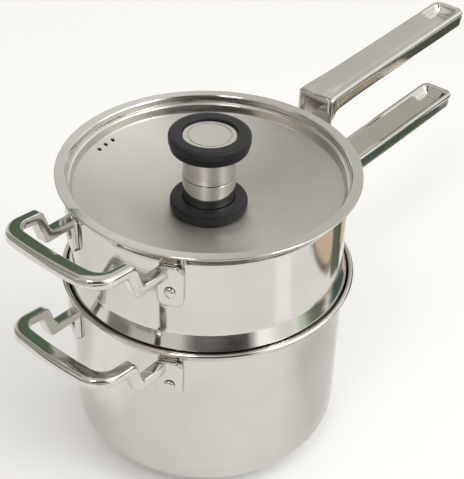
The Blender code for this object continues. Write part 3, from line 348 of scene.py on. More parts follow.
def turned(name, outline, steps, sharp=radians(50)):
    """Turn a closed outline of (radius, height) points about Z."""
    bm = bmesh.new()
    rings = []
    for radius, height in outline:
        if radius < 1e-7:
            rings.append([bm.verts.new((0.0, 0.0, height))])
            continue
        ring = [bm.verts.new((radius * cos(2 * pi * i / steps), radius * sin(2 * pi * i / steps), height))
                for i in range(steps)]
        rings.append(ring)
    for a, b in zip(rings, rings[1:] + rings[:1]):
        if len(a) == 1 and len(b) == 1:
            continue
        for i in range(steps):
            j = (i + 1) % steps
            corners = [a[i % len(a)], a[j % len(a)], b[j % len(b)], b[i % len(b)]]
            bm.faces.new(list(dict.fromkeys(corners)))
    return finish_mesh(name, bm, sharp)


def lofted(name, sections, sharp=radians(40)):
    """Skin a row of equal rings of points and close both ends."""
    bm = bmesh.new()
    rings = [[bm.verts.new(point) for point in section] for section in sections]
    count = len(rings[0])
    for a, b in zip(rings, rings[1:]):
        for i in range(count):
            j = (i + 1) % count
            bm.faces.new((a[i], a[j], b[j], b[i]))
    bm.faces.new(rings[0])
    bm.faces.new(rings[-1])
    return finish_mesh(name, bm, sharp)


def linked(name, data):
    """A new object in the scene."""
    obj = bpy.data.objects.new(name, data)
    bpy.context.scene.collection.objects.link(obj)
    return obj


def add_piece(name, mesh, material, body, node):
    """Link a piece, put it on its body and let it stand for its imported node."""
    obj = linked(name, mesh)
    mesh.materials.clear()
    mesh.materials.append(material)
    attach(obj, body)
    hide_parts(node)


def drilled(mesh, tools, sharp=radians(30)):
    """Cut tool meshes out of a mesh and return the result."""
    obj = linked("drill_work", mesh)
    cutter = linked("drill_tool", joined("drill_tool", tools))
    modifier = obj.modifiers.new("cut", "BOOLEAN")
    modifier.operation = "DIFFERENCE"
    modifier.solver = "EXACT"
    modifier.object = cutter
    depsgraph = bpy.context.evaluated_depsgraph_get()
    result = bpy.data.meshes.new_from_object(obj.evaluated_get(depsgraph))
    bpy.data.objects.remove(obj)
    bpy.data.objects.remove(cutter)
    result.shade_smooth()
    result.set_sharp_from_angle(angle=sharp)
    return result


def joined(name, meshes):
    bm = bmesh.new()
    for mesh in meshes:
        bm.from_mesh(mesh)
        bpy.data.meshes.remove(mesh)
    result = bpy.data.meshes.new(name)
    bm.to_mesh(result)
    bm.free()
    return result


def mix(a, b, share):
    return a + (b - a) * share


def rounded_off(gap, radius):
    """How far a rounding cuts back at a distance from the end."""
    return radius - sqrt(radius ** 2 - max(0.0, radius - gap) ** 2)


def outward_frame(azimuth, radius, height):
    """A frame on the wall: local Z points away from the axis, local Y points up."""
    outward = Vector((cos(azimuth), sin(azimuth), 0.0))
    up = Vector((0.0, 0.0, 1.0))
    matrix = Matrix((up.cross(outward), up, outward)).transposed().to_4x4()
    matrix.translation = outward * radius + up * height
    return matrix


def smoothstep(low, high, value):
    share = max(0.0, min(1.0, (value - low) / (high - low)))
    return share * share * (3 - 2 * share)


# Outlines of the turned pieces

def rim_lines(inside, wall, crest, overhang):
    """Corners of the outside and inside of a stepped, flared rim, each from the wall upwards."""
    widened = inside + RIM_STEP
    lip_edge = inside + wall + overhang
    ledge = crest - RIM_LEDGE_DEPTH
    inner = [
        (inside, ledge - RIM_FLARE_HEIGHT, 3.0 * MM),
        (widened - 0.25 * RIM_STEP, ledge + 0.10 * RIM_FLARE_HEIGHT, 1.6 * MM),
        (widened, ledge + 0.45 * RIM_FLARE_HEIGHT, 1.2 * MM),
        (widened + 0.3 * wall, crest - 0.3 * LIP_THICKNESS, 0.8 * MM),
    ]
    crown = [
        (widened + 1.5 * wall, crest, 1.6 * MM),
        (lip_edge - 0.45 * LIP_THICKNESS, crest - 0.16 * LIP_THICKNESS, 2.0 * MM),
        (lip_edge, crest - 0.60 * LIP_THICKNESS, 0.7 * MM),
        (lip_edge - 0.25 * LIP_THICKNESS, crest - LIP_THICKNESS, 0.6 * MM),
    ]
    outer = [
        (widened + wall, ledge + 0.50 * RIM_FLARE_HEIGHT, 1.6 * MM),
        (inside + 0.42 * RIM_STEP + 0.85 * wall, ledge - 0.60 * RIM_FLARE_HEIGHT, 2.0 * MM),
        (inside + wall, ledge - 1.35 * RIM_FLARE_HEIGHT, 4.0 * MM),
    ]
    return outer[::-1], crown[::-1], inner[::-1]


def corner_ellipse(centre, across, up, start, end, count=20):
    """Points of an ellipse's quarter as corners without rounding."""
    points = []
    for i in range(count + 1):
        angle = radians(mix(start, end, i / count))
        points.append((centre[0] + across * cos(angle), centre[1] + up * sin(angle), 0.0))
    return points


def pot_outline():
    outer_rim, crown, inner_rim = rim_lines(POT_INSIDE, POT_WALL, POT_RIM, POT_LIP_OVERHANG)
    corner = (POT_RADIUS - POT_CORNER_ACROSS, SHELL_BOTTOM + POT_CORNER_UP)
    outside = corner_ellipse(corner, POT_CORNER_ACROSS, POT_CORNER_UP, -90, 0)
    inside = corner_ellipse(corner, POT_CORNER_ACROSS - POT_WALL, POT_CORNER_UP - POT_WALL, 0, -90)
    return rounded([(0.0, SHELL_BOTTOM, 0.0)] + outside + outer_rim + crown + inner_rim + inside
                   + [(0.0, SHELL_BOTTOM + POT_WALL, 0.0)])


def seat_height(radius):
    """Height of the pot's rim slope at a radius, where the steamer's bead rests."""
    low = (POT_INSIDE + 0.30 * RIM_STEP, POT_RIM - RIM_LEDGE_DEPTH - 0.45 * RIM_FLARE_HEIGHT)
    high = (POT_INSIDE + 0.75 * RIM_STEP, POT_RIM - RIM_LEDGE_DEPTH + 0.10 * RIM_FLARE_HEIGHT)
    share = (radius - low[0]) / (high[0] - low[0])
    return mix(low[1], high[1], share)


def steamer_outline():
    outer_rim, crown, inner_rim = rim_lines(
        STEAMER_INSIDE, STEAMER_WALL, STEAMER_RIM, STEAMER_LIP_OVERHANG)
    corner = (NECK_RADIUS - STEAMER_CORNER, STEAMER_FLOOR + STEAMER_CORNER)
    bead = POT_INSIDE + RIM_STEP - SKIRT_CLEARANCE
    seat_outer = POT_INSIDE + 0.62 * RIM_STEP
    seat_inner = POT_INSIDE + 0.12 * RIM_STEP
    lifted = 1.6 * GAP
    bead_top = POT_RIM + BEAD_TOP_RISE
    bead_edge = POT_RIM + BEAD_EDGE_RISE
    outside_bead = [
        (NECK_RADIUS, seat_height(seat_inner) - 1.2 * MM, 0.8 * MM),
        (seat_inner, seat_height(seat_inner) + lifted, 0.4 * MM),
        (seat_outer, seat_height(seat_outer) + lifted, 0.5 * MM),
        (bead, seat_height(seat_outer) + 1.4 * MM, 0.6 * MM),
        (bead, bead_edge - 0.3 * MM, 0.45 * MM),
        (STEAMER_RADIUS + 0.25 * MM, bead_top - 0.3 * MM, 3.0 * MM),
        (STEAMER_RADIUS, bead_top + 1.6 * MM, 3.0 * MM),
    ]
    inside_bead = [
        (STEAMER_INSIDE, bead_top + 0.9 * MM, 2.0 * MM),
        (bead - 1.2 * MM, bead_edge + 0.4 * MM, 0.8 * MM),
        (bead - 1.2 * MM, seat_height(seat_outer) + 1.7 * MM, 0.6 * MM),
        (NECK_INSIDE, seat_height(seat_inner) - 0.2 * MM, 0.8 * MM),
    ]
    outside = corner_ellipse(corner, STEAMER_CORNER, STEAMER_CORNER, -90, 0, 10)
    inner_corner = STEAMER_CORNER - STEAMER_WALL
    inside = corner_ellipse(corner, inner_corner, inner_corner, 0, -90, 10)
    return rounded([(0.0, STEAMER_FLOOR, 0.0)] + outside + outside_bead + outer_rim + crown
                   + inner_rim + inside_bead + inside + [(0.0, STEAMER_FLOOR + STEAMER_WALL, 0.0)])


def dish_height(radius):
    """Top of the lid's dish at a radius: a shallow bowl with a flat middle."""
    edge = LID_RADIUS - LID_BRIM_WIDTH - LID_STEP_WIDTH - 1.7 * MM
    if radius <= LID_SEAT_RADIUS:
        return LID_SEAT
    share = (radius - LID_SEAT_RADIUS) / (edge - LID_SEAT_RADIUS)
    return LID_SEAT + LID_DISH_SAG * share ** 1.35


def lid_outline():
    brim_inner = LID_RADIUS - LID_BRIM_WIDTH
    step = LID_TOP - LID_STEP_DEPTH
    step_inner = brim_inner - LID_STEP_WIDTH
    edge = step_inner - 1.7 * MM
    rings = 40
    dish = []
    for i in range(rings):
        radius = mix(LID_SEAT_RADIUS, edge, i / rings)
        dish.append((radius, dish_height(radius), 0.0))
    under_dish = [(radius, height - LID_SHEET, 0.0) for radius, height, _ in reversed(dish)]
    top = [
        (edge, DISH_EDGE, 0.4 * MM),
        (edge + 0.6 * MM, DISH_EDGE + 1.0 * MM, 0.6 * MM),
        (step_inner - 0.4 * MM, step - 0.8 * MM, 0.5 * MM),
        (step_inner + 0.5 * MM, step, 0.5 * MM),
        (brim_inner - 0.8 * MM, step + 0.3 * MM, 0.4 * MM),
        (brim_inner - 0.4 * MM, step + 1.4 * MM, 0.6 * MM),
        (brim_inner - 0.2 * MM, LID_TOP - 0.9 * MM, 0.4 * MM),
        (brim_inner + 0.5 * MM, LID_TOP, 0.6 * MM),
        (LID_RADIUS - 0.4 * MM, LID_TOP, 0.35 * MM),
        (LID_RADIUS, LID_TOP - 0.4 * LID_SHEET, 0.3 * MM),
        (LID_RADIUS - 0.3 * MM, LID_TOP - LID_SHEET, 0.1 * MM),
    ]
    under = [
        (brim_inner + 1.1 * MM, LID_TOP - LID_SHEET, 0.4 * MM),
        (brim_inner + 0.6 * MM, LID_TOP - 2.2 * LID_SHEET, 0.4 * MM),
        (brim_inner + 0.2 * MM, step - 0.7 * MM, 0.4 * MM),
        (step_inner + 0.6 * MM, step - LID_SHEET, 0.4 * MM),
        (edge + 1.0 * MM, DISH_EDGE - 0.6 * MM, 0.6 * MM),
    ]
    hole = SCREW_RADIUS + GAP
    return rounded([(hole, LID_SEAT, 0.0)] + dish + top + under + under_dish
                   + [(hole, LID_SEAT - LID_SHEET, 0.0)])


def groove(radius, height):
    """Corners of a groove in the side of the knob's top ring, going up."""
    return [(radius, height, 0.15 * MM), (radius - KNOB_GROOVE, height + 0.15 * MM, 0.1 * MM),
            (radius - KNOB_GROOVE, height + 0.5 * MM, 0.1 * MM)]


def knob_outlines():
    """Outlines of the knob's turned pieces, with heights above the lid's seat."""
    bore = SCREW_RADIUS + GAP
    base_top = GAP + KNOB_BASE_THICKNESS
    sleeve_low = base_top - SLEEVE_SOCKET
    seam = SLEEVE_SEAM_RISE
    ring_low = KNOB_HEIGHT - KNOB_TOP_THICKNESS
    sleeve_high = ring_low + SLEEVE_SOCKET
    cap_top = KNOB_HEIGHT - CAP_RECESS
    cap_low = cap_top - CAP_THICKNESS
    sleeve_inside = SLEEVE_RADIUS - SLEEVE_WALL
    ring_bore = CAP_BOSS_RADIUS + GAP
    base_ring = [
        (bore, GAP, 0.0),
        (KNOB_BASE_RADIUS - 1.6 * MM, GAP, 1.0 * MM),
        (KNOB_BASE_RADIUS, GAP + 2.0 * MM, 1.6 * MM),
        (KNOB_BASE_RADIUS, base_top - 2.2 * MM, 0.3 * MM),
        (KNOB_BASE_RADIUS - 0.8 * MM, base_top - 1.9 * MM, 0.15 * MM),
        (KNOB_BASE_RADIUS - 0.8 * MM, base_top - 1.4 * MM, 0.15 * MM),
        (KNOB_BASE_RADIUS - 0.5 * MM, base_top - 0.9 * MM, 0.5 * MM),
        (KNOB_BASE_RADIUS - 3.0 * MM, base_top, 2.2 * MM),
        (SLEEVE_FOOT_RADIUS + GAP, base_top, 0.5 * MM),
        (SLEEVE_FOOT_RADIUS + GAP, sleeve_low - GAP, 0.0),
        (bore, sleeve_low - GAP, 0.0),
    ]
    lower_sleeve = [
        (bore, sleeve_low, 0.0),
        (SLEEVE_FOOT_RADIUS, sleeve_low, 0.3 * MM),
        (SLEEVE_FOOT_RADIUS, base_top + 3.0 * MM, 8.0 * MM),
        (SLEEVE_SEAM_RADIUS - 0.1 * MM, seam - 3.4 * MM, 8.0 * MM),
        (SLEEVE_SEAM_RADIUS, seam - GAP, 0.4 * MM),
        (sleeve_inside - GAP, seam - GAP, 0.0),
        (sleeve_inside - GAP, seam + SLEEVE_LAP, 0.0),
        (sleeve_inside - GAP - SLEEVE_WALL, seam + SLEEVE_LAP, 0.0),
        (SLEEVE_FOOT_RADIUS - SLEEVE_WALL, base_top + 0.5 * MM, 0.0),
        (SLEEVE_FOOT_RADIUS - SLEEVE_WALL, sleeve_low + SLEEVE_WALL, 0.0),
        (bore, sleeve_low + SLEEVE_WALL, 0.0),
    ]
    upper_sleeve = [
        (sleeve_inside, seam, 0.0),
        (SLEEVE_SEAM_RADIUS - 0.2 * MM, seam, 0.4 * MM),
        (SLEEVE_SEAM_RADIUS - 0.2 * MM, seam + 1.0 * MM, 1.2 * MM),
        (SLEEVE_RADIUS, seam + 3.0 * MM, 3.0 * MM),
        (SLEEVE_RADIUS, sleeve_high, 0.2 * MM),
        (sleeve_inside, sleeve_high, 0.0),
    ]
    top_ring = [
        (ring_bore, sleeve_high + GAP, 0.0),
        (SLEEVE_RADIUS + GAP, sleeve_high + GAP, 0.0),
        (SLEEVE_RADIUS + GAP, ring_low, 0.5 * MM),
        (KNOB_TOP_RADIUS - KNOB_STEP, ring_low, 0.8 * MM),
        *groove(KNOB_TOP_RADIUS - KNOB_STEP, ring_low + 2.0 * MM),
        (KNOB_TOP_RADIUS - 0.5 * KNOB_STEP, ring_low + 2.7 * MM, 0.25 * MM),
        *groove(KNOB_TOP_RADIUS - 0.5 * KNOB_STEP, ring_low + 4.0 * MM),
        (KNOB_TOP_RADIUS, ring_low + 4.7 * MM, 0.3 * MM),
        (KNOB_TOP_RADIUS, KNOB_HEIGHT - 0.5 * MM, 1.9 * MM),
        (KNOB_TOP_RADIUS - 2.4 * MM, KNOB_HEIGHT, 3.0 * MM),
        (CAP_RADIUS + GAP, KNOB_HEIGHT, 1.0 * MM),
        (CAP_RADIUS + GAP, cap_low - GAP, 0.0),
        (ring_bore, cap_low - GAP, 0.0),
    ]
    boss_low = cap_low - CAP_BOSS_LENGTH
    screw_top = boss_low + SCREW_GRIP
    cap = [
        (bore, boss_low, 0.0),
        (CAP_BOSS_RADIUS, boss_low, 0.3 * MM),
        (CAP_BOSS_RADIUS, cap_low, 0.3 * MM),
        (CAP_RADIUS, cap_low, 0.2 * MM),
        (CAP_RADIUS, cap_top, 0.4 * MM),
        (CAP_GROOVE_RADIUS + 0.45 * MM, cap_top, 0.08 * MM),
        (CAP_GROOVE_RADIUS + 0.25 * MM, cap_top - 0.6 * MM, 0.1 * MM),
        (CAP_GROOVE_RADIUS - 0.25 * MM, cap_top - 0.6 * MM, 0.1 * MM),
        (CAP_GROOVE_RADIUS - 0.45 * MM, cap_top, 0.08 * MM),
        (0.0, cap_top, 0.0),
        (0.0, screw_top + SCREW_TIP_GAP, 0.0),
        (bore, screw_top + SCREW_TIP_GAP, 0.0),
    ]
    washer_top = -LID_SHEET - GAP
    washer_low = washer_top - WASHER_THICKNESS
    washer = [
        (bore, washer_low, 0.1 * MM),
        (WASHER_RADIUS, washer_low, 0.2 * MM),
        (WASHER_RADIUS, washer_top, 0.1 * MM),
        (bore, washer_top, 0.0),
    ]
    head_top = washer_low - GAP
    screw = [
        (0.0, head_top - SCREW_HEAD_HEIGHT, 0.0),
        (SCREW_HEAD_RADIUS - 0.6 * MM, head_top - SCREW_HEAD_HEIGHT, 2.2 * MM),
        (SCREW_HEAD_RADIUS, head_top - 0.4 * SCREW_HEAD_HEIGHT, 0.8 * MM),
        (SCREW_HEAD_RADIUS, head_top, 0.1 * MM),
        (SCREW_RADIUS, head_top, 0.1 * MM),
        (SCREW_RADIUS, screw_top, 0.2 * MM),
        (0.0, screw_top, 0.0),
    ]
    return {
        "knob_base_ring": base_ring,
        "knob_lower_sleeve": lower_sleeve,
        "knob_upper_sleeve": upper_sleeve,
        "knob_top_ring": top_ring,
        "knob_cap_disc": cap,
        "knob_washer": washer,
        "knob_screw": screw,
    }


def base_cap_outline():
    top = SHELL_BOTTOM - GAP
    thickness = 0.8 * MM
    return rounded([
        (0.0, 0.0, 0.0),
        (BASE_RADIUS - 0.5 * MM, 0.0, 1.6 * MM),
        (BASE_RADIUS, 1.0 * MM, 1.0 * MM),
        (BASE_RADIUS, top, 0.3 * MM),
        (BASE_RADIUS - thickness, top, 0.1 * MM),
        (BASE_RADIUS - thickness, thickness, 0.1 * MM),
        (0.0, thickness, 0.0),
    ])


# Handles

def plate_mesh(name, azimuth, wall_radius, middle, half_width, half_height):
    """Mounting plate with rounded corners and a soft edge, its back curved to the wall."""
    corners = [(half_width, half_height, PLATE_CORNER), (-half_width, half_height, PLATE_CORNER),
               (-half_width, -half_height, PLATE_CORNER), (half_width, -half_height, PLATE_CORNER)]
    outline = rounded(corners, 10, closed=True)
    radius = wall_radius + GAP
    place = outward_frame(azimuth, radius, middle)

    def ring(inset, depth=None):
        points = []
        for p in outline:
            x = p.x * (1 - inset / half_width)
            y = p.y * (1 - inset / half_height)
            reach = sqrt(radius ** 2 - x ** 2) - radius if depth is None else depth
            points.append(place @ Vector((x, y, reach)))
        return points

    rise = PLATE_THICKNESS - PLATE_EDGE
    sections = [ring(0.0), ring(0.0, rise)]
    for i in range(1, 6):
        angle = radians(18 * i)
        sections.append(ring(PLATE_EDGE * (1 - cos(angle)), rise + PLATE_EDGE * sin(angle)))
    sections.append(ring(PLATE_EDGE + SUPPORT, PLATE_THICKNESS))
    return lofted(name, sections)


def long_lines(vessel, wall_radius, near_top):
    """Matching points along the long handle's top line and its underside, from the wall out."""
    neck_top = near_top - LONG_SHANK_DROP
    neck_low = neck_top - LONG_NECK_THICKNESS
    face = wall_radius + LONG_STANDOFF
    back = face + LONG_SHANK_THICKNESS
    under = near_top - LONG_THICKNESS
    tip = TIP_X[vessel]
    rise = (tip - face) * tan(LONG_SLOPE[vessel])
    start = wall_radius - 2.0 * MM
    top = rounded([
        (start, neck_top, 0.0),
        (face, neck_top, 4.5 * MM),
        (face, near_top, LONG_CREST[vessel]),
        (tip, near_top + rise, 0.0),
    ], 12)
    low = rounded([
        (start, neck_low, 0.0),
        (back + 1.0 * MM, neck_low, 6.0 * MM),
        (back, under, 5.0 * MM),
        (tip, under + rise, 0.0),
    ], 12)
    return top, low


def pocket_depth(x, y):
    """Depth of the tip's scooped hollow, x and y measured from its middle."""
    half_length = POCKET_LENGTH / 2
    half_width = POCKET_WIDTH / 2
    dx = abs(x) - (half_length - POCKET_CORNER)
    dy = abs(y) - (half_width - POCKET_CORNER)
    outside = sqrt(max(dx, 0.0) ** 2 + max(dy, 0.0) ** 2)
    inside = min(max(dx, dy), 0.0)
    distance = POCKET_CORNER - outside - inside
    return POCKET_DEPTH * smoothstep(-0.4 * MM, POCKET_WALL_RUN, distance)


def bar_ring(top, low, half_top, half_low, dish, border, edge, ramp, pocket_x=None):
    """Ring of points round the long handle's flat bar, hollowed on top."""
    top = Vector((top.x, 0.0, top.y))
    down = Vector((low.x, 0.0, low.y)) - top
    depth = down.length
    down.normalize()
    low_edge = min(2.4 * MM, 0.3 * depth)
    side_edge = min(edge, 0.45 * depth)
    shoulder = half_top - border
    inner = shoulder - ramp
    offsets = [half_top - edge, half_top - 0.5 * (edge + border), shoulder + 0.15 * MM]
    offsets += [shoulder - ramp * i / 8 for i in range(9)]
    offsets += [inner * (1 - i / 22) for i in range(1, 22)]
    top_line = []
    for y in offsets:
        sunk = dish * (1 - smoothstep(inner, shoulder, y))
        if y < inner:
            sunk += 0.22 * dish * (1 - (y / inner) ** 2)
        top_line.append((y, sunk))
    top_line.append((0.0, 1.22 * dish))
    if pocket_x is not None:
        top_line = [(y, sunk + pocket_depth(pocket_x, y)) for y, sunk in top_line]
    side = []
    for i in range(8):
        angle = radians(90 * i / 8)
        side.append((half_top - edge * (1 - cos(angle)), side_edge * (1 - sin(angle))))
    half = [((half_low - low_edge) * i / 3, depth) for i in (1, 2)]
    for i in range(7):
        angle = radians(90 - 15 * i)
        half.append((half_low - low_edge * (1 - cos(angle)), depth - low_edge * (1 - sin(angle))))
    for i in range(4, 0, -1):
        half.append((mix(half_top, half_low, i / 5), mix(side_edge, depth - low_edge, i / 5)))
    half += side
    half += top_line[:-1]
    mirrored = [(-y, d) for y, d in reversed(half)]
    outline = [(0.0, depth)] + half + [top_line[-1]] + mirrored
    return [top + down * d + Vector((0.0, y, 0.0)) for y, d in outline]


def long_handle_mesh(name, vessel, wall_radius, rim):
    near_top = rim + LONG_LIFT[vessel]
    neck_top = near_top - LONG_SHANK_DROP
    top, low = long_lines(vessel, wall_radius, near_top)
    face = wall_radius + LONG_STANDOFF
    tip = TIP_X[vessel]
    length = tip - face
    pocket_middle = tip - POCKET_TO_TIP - POCKET_LENGTH / 2
    neck_half = LONG_PLATE_HALF_WIDTH - LONG_NECK_INSET
    heel_half = LONG_HALF_WIDTH + LONG_HEEL_FLARE
    edge = LONG_EDGE[vessel]
    border = LONG_BORDER[vessel]
    ramp = LONG_RAMP[vessel]
    pairs = list(zip(top, low))
    stations = [pairs[0]]
    for (top_a, low_a), (top_b, low_b) in zip(pairs, pairs[1:]):
        step = 0.9 * MM if (top_b - top_a).length < 40 * MM else 0.45 * MM
        parts = max(1, int((top_b - top_a).length / step))
        for i in range(1, parts + 1):
            stations.append((mix(top_a, top_b, i / parts), mix(low_a, low_b, i / parts)))
    sections = []
    for top_point, low_point in stations:
        along = top_point.x - face
        if along > 3.0 * MM:
            share = along / length
            end_gap = tip - top_point.x
            heel = max(0.0, 1 - along / LONG_HEEL_RUN)
            drawn_in = rounded_off(end_gap, LONG_TIP_RADIUS)
            end_round = rounded_off(end_gap, LONG_TIP_EDGE)
            half = LONG_HALF_WIDTH + LONG_TIP_FLARE * share + LONG_HEEL_FLARE * heel ** 2 - drawn_in
            sag = -LONG_SAG * sin(pi * min(share, 1.0))
            dish = LONG_DISH * smoothstep(0.0, 8 * MM, end_gap - 2 * MM)
            dish = mix(1.6 * LONG_DISH, dish, smoothstep(2 * MM, 24 * MM, along))
            pocket_x = top_point.x - pocket_middle
            if abs(pocket_x) > POCKET_LENGTH / 2 + 1.0 * MM:
                pocket_x = None
            sections.append(bar_ring(top_point + Vector((0.0, sag - end_round)),
                                     low_point + Vector((0.0, sag + end_round + 0.35 * drawn_in)),
                                     half, half - LONG_BOTTOM_INSET, dish, border, edge, ramp, pocket_x))
            continue
        height = top_point.y
        risen = smoothstep(neck_top - 0.1 * MM, neck_top + 5.0 * MM, height)
        crest = smoothstep(near_top - 1.6 * MM, near_top, height)
        half = mix(neck_half, heel_half, risen)
        back_half = mix(neck_half, heel_half - LONG_SHANK_INSET, risen)
        low_half = mix(back_half, heel_half - LONG_BOTTOM_INSET,
                       smoothstep(near_top - 9 * MM, near_top, height))
        dish = mix(LONG_SHANK_DISH * risen, 1.6 * LONG_DISH, crest)
        rib = mix(LONG_RIB, border, crest)
        sections.append(bar_ring(top_point, low_point, half, low_half, dish, rib,
                                 mix(LONG_RIB_EDGE, edge, crest), mix(2.0 * MM, ramp, crest)))
    return lofted(name, sections)


def long_handle(vessel, wall_radius, rim):
    name = vessel + "_long_handle_cast"
    bar = long_handle_mesh(name + "_bar", vessel, wall_radius, rim)
    neck_top = rim + LONG_LIFT[vessel] - LONG_SHANK_DROP
    middle = neck_top + LONG_PLATE_RISE - LONG_PLATE_HEIGHT / 2
    plate = plate_mesh(name + "_plate", 0.0, wall_radius, middle,
                       LONG_PLATE_HALF_WIDTH, LONG_PLATE_HEIGHT / 2)
    mesh = joined(name, [bar, plate])
    add_piece(name, mesh, CAST_STEEL, vessel, vessel + "_long_handle")
    return [(0.0, side, neck_top - LONG_RIVET_DROP) for side in (-LONG_RIVET_SPREAD, LONG_RIVET_SPREAD)]


def rod_ring(point, across, down, width, thickness, inner_edge, outer_edge, low_edge):
    """Ring of points round the helper's bar."""
    half = width / 2
    outline = []
    corners = [(-half, 0.0, inner_edge), (half, 0.0, outer_edge),
               (half, thickness, low_edge), (-half, thickness, low_edge)]
    signs = [(1, 1), (-1, 1), (-1, -1), (1, -1)]
    starts = [180, 270, 0, 90]
    for (x, d, radius), (sx, sd), start in zip(corners, signs, starts):
        for i in range(9):
            angle = radians(start + 90 * i / 8)
            outline.append((x + sx * radius + radius * cos(angle), d + sd * radius + radius * sin(angle)))
    return [point + across * a + down * d for a, d in outline]


def helper_sections(wall_radius, neck_top):
    """Rings of half a helper handle, from the middle of its bar round to its neck at the wall."""
    middle = wall_radius + HELPER_REACH - HELPER_BAR_DEPTH / 2
    corner_side = HELPER_SPREAD - HELPER_CORNER
    tilt = tan(HELPER_SLOPE)
    bar_top = neck_top + HELPER_BAR_RISE
    sections = []

    def bow(side):
        return middle - HELPER_BOW * (side / HELPER_SPREAD) ** 2

    def bar_section(reach, side, angle, share):
        top = Vector((reach, side, bar_top + (reach - middle) * tilt))
        down = Vector((tilt, 0.0, -1.0)).normalized()
        across = Vector((cos(angle), sin(angle), cos(angle) * tilt)).normalized()
        sections.append(rod_ring(top, across, down, mix(HELPER_BAR_DEPTH, HELPER_ARM_DEPTH, share),
                                 HELPER_THICKNESS, HELPER_INNER_EDGE,
                                 mix(HELPER_OUTER_EDGE, HELPER_ARM_EDGE, share), HELPER_LOW_EDGE))

    for i in range(12):
        side = corner_side * i / 12
        bar_section(bow(side), side, 0.0, 0.0)
    corner_reach = bow(corner_side) - HELPER_CORNER
    for i in range(25):
        angle = pi / 2 * i / 24
        bar_section(corner_reach + HELPER_CORNER * cos(angle), corner_side + HELPER_CORNER * sin(angle),
                    angle, 1 - cos(angle))
    shoulder = wall_radius + HELPER_NECK_START + 0.8 * HELPER_RISER
    shoulder_top = bar_top + (shoulder - middle) * tilt
    low = neck_top - HELPER_NECK_THICKNESS
    neck_end = sqrt(wall_radius ** 2 - HELPER_SPREAD ** 2) - 2.0 * MM
    arm_end = corner_reach - 0.5 * MM
    arm_top = bar_top + (arm_end - middle) * tilt
    under_shoulder = shoulder + 6.0 * MM
    tops = rounded([
        (arm_end, arm_top, 0.0),
        (shoulder, shoulder_top, 4.5 * MM),
        (wall_radius + HELPER_NECK_START, neck_top, 2.4 * MM),
        (neck_end, neck_top, 0.0),
    ], 10)
    lows = rounded([
        (arm_end + HELPER_THICKNESS * tilt, arm_top - HELPER_THICKNESS, 0.0),
        (under_shoulder, bar_top + (under_shoulder - middle) * tilt - HELPER_THICKNESS, 3.0 * MM),
        (wall_radius + HELPER_NECK_START + 0.8 * HELPER_RISER, low, 4.0 * MM),
        (neck_end, low, 0.0),
    ], 10)
    count = len(tops) - 1
    for i, (top_point, low_point) in enumerate(zip(tops[1:], lows[1:]), 1):
        softness = mix(1.0, HELPER_NECK_SOFTNESS, smoothstep(0.1, 0.6, i / count))
        point = Vector((top_point.x, HELPER_SPREAD, top_point.y))
        down = Vector((low_point.x, HELPER_SPREAD, low_point.y)) - point
        sections.append(rod_ring(point, Vector((0.0, 1.0, 0.0)), down.normalized(), HELPER_ARM_DEPTH,
                                 down.length, HELPER_INNER_EDGE, softness * HELPER_ARM_EDGE,
                                 mix(1.0, 0.6, smoothstep(0.1, 0.6, i / count)) * HELPER_LOW_EDGE))
    return sections


def helper_handle_mesh(name, wall_radius, neck_top):
    half = helper_sections(wall_radius, neck_top)
    mirrored = [[Vector((p.x, -p.y, p.z)) for p in section] for section in half[:0:-1]]
    turn = Matrix.Rotation(pi, 4, "Z")
    return lofted(name, [[turn @ p for p in section] for section in mirrored + half])


def helper_handle(vessel, wall_radius, rim):
    name = vessel + "_helper_handle_cast"
    neck_top = rim - HELPER_DROP
    parts = [helper_handle_mesh(name + "_bar", wall_radius, neck_top)]
    middle = neck_top + HELPER_PLATE_RISE - HELPER_PLATE_HEIGHT / 2
    azimuths = [pi + side * HELPER_PLATE_AZIMUTH for side in (-1, 1)]
    for i, azimuth in enumerate(azimuths):
        parts.append(plate_mesh(f"{name}_plate_{i}", azimuth, wall_radius, middle,
                                HELPER_PLATE_HALF_WIDTH, HELPER_PLATE_HEIGHT / 2))
    add_piece(name, joined(name, parts), CAST_STEEL, vessel, vessel + "_helper_handle")
    return [(azimuth, 0.0, neck_top - HELPER_RIVET_DROP) for azimuth in azimuths]


def rivets(vessel, handle, wall_radius, wall, sites):
    """Rivets with domed heads on the plates and flat heads inside the wall."""
    seat = GAP + PLATE_THICKNESS + GAP
    brim = 0.25 * RIVET_HEAD_HEIGHT
    dome = []
    for i in range(1, 13):
        angle = radians(90 * i / 12)
        dome.append((RIVET_HEAD_RADIUS * cos(angle),
                     seat + brim + (RIVET_HEAD_HEIGHT - brim) * sin(angle), 0.0))
    dome[-1] = (0.0, dome[-1][1], 0.0)
    for number, (azimuth, side, height) in enumerate(sites, 1):
        lowest_wall = sqrt(((wall_radius - wall) * cos(pi / CAD_BODY_STEPS)) ** 2
                           - (abs(side) + RIVET_HEAD_RADIUS) ** 2)
        inside = lowest_wall - GAP - wall_radius
        outline = rounded([
            (0.0, inside - RIVET_INNER_HEAD, 0.0),
            (RIVET_HEAD_RADIUS, inside - 0.6 * RIVET_INNER_HEAD, 0.3 * MM),
            (RIVET_HEAD_RADIUS, inside, 0.0),
            (RIVET_RADIUS, inside, 0.0),
            (RIVET_RADIUS, seat, 0.0),
            (RIVET_HEAD_RADIUS, seat, 0.1 * MM),
            (RIVET_HEAD_RADIUS, seat + brim, 0.0),
        ] + dome)
        name = f"{vessel}_{handle}_handle_rivet_{number}"
        mesh = turned(name + "_fine", outline, SMALL_STEPS)
        mesh.transform(outward_frame(azimuth, wall_radius, height) @ Matrix.Translation((side, 0.0, 0.0)))
        add_piece(name + "_fine", mesh, RIVET_STEEL, vessel, name)


# Materials

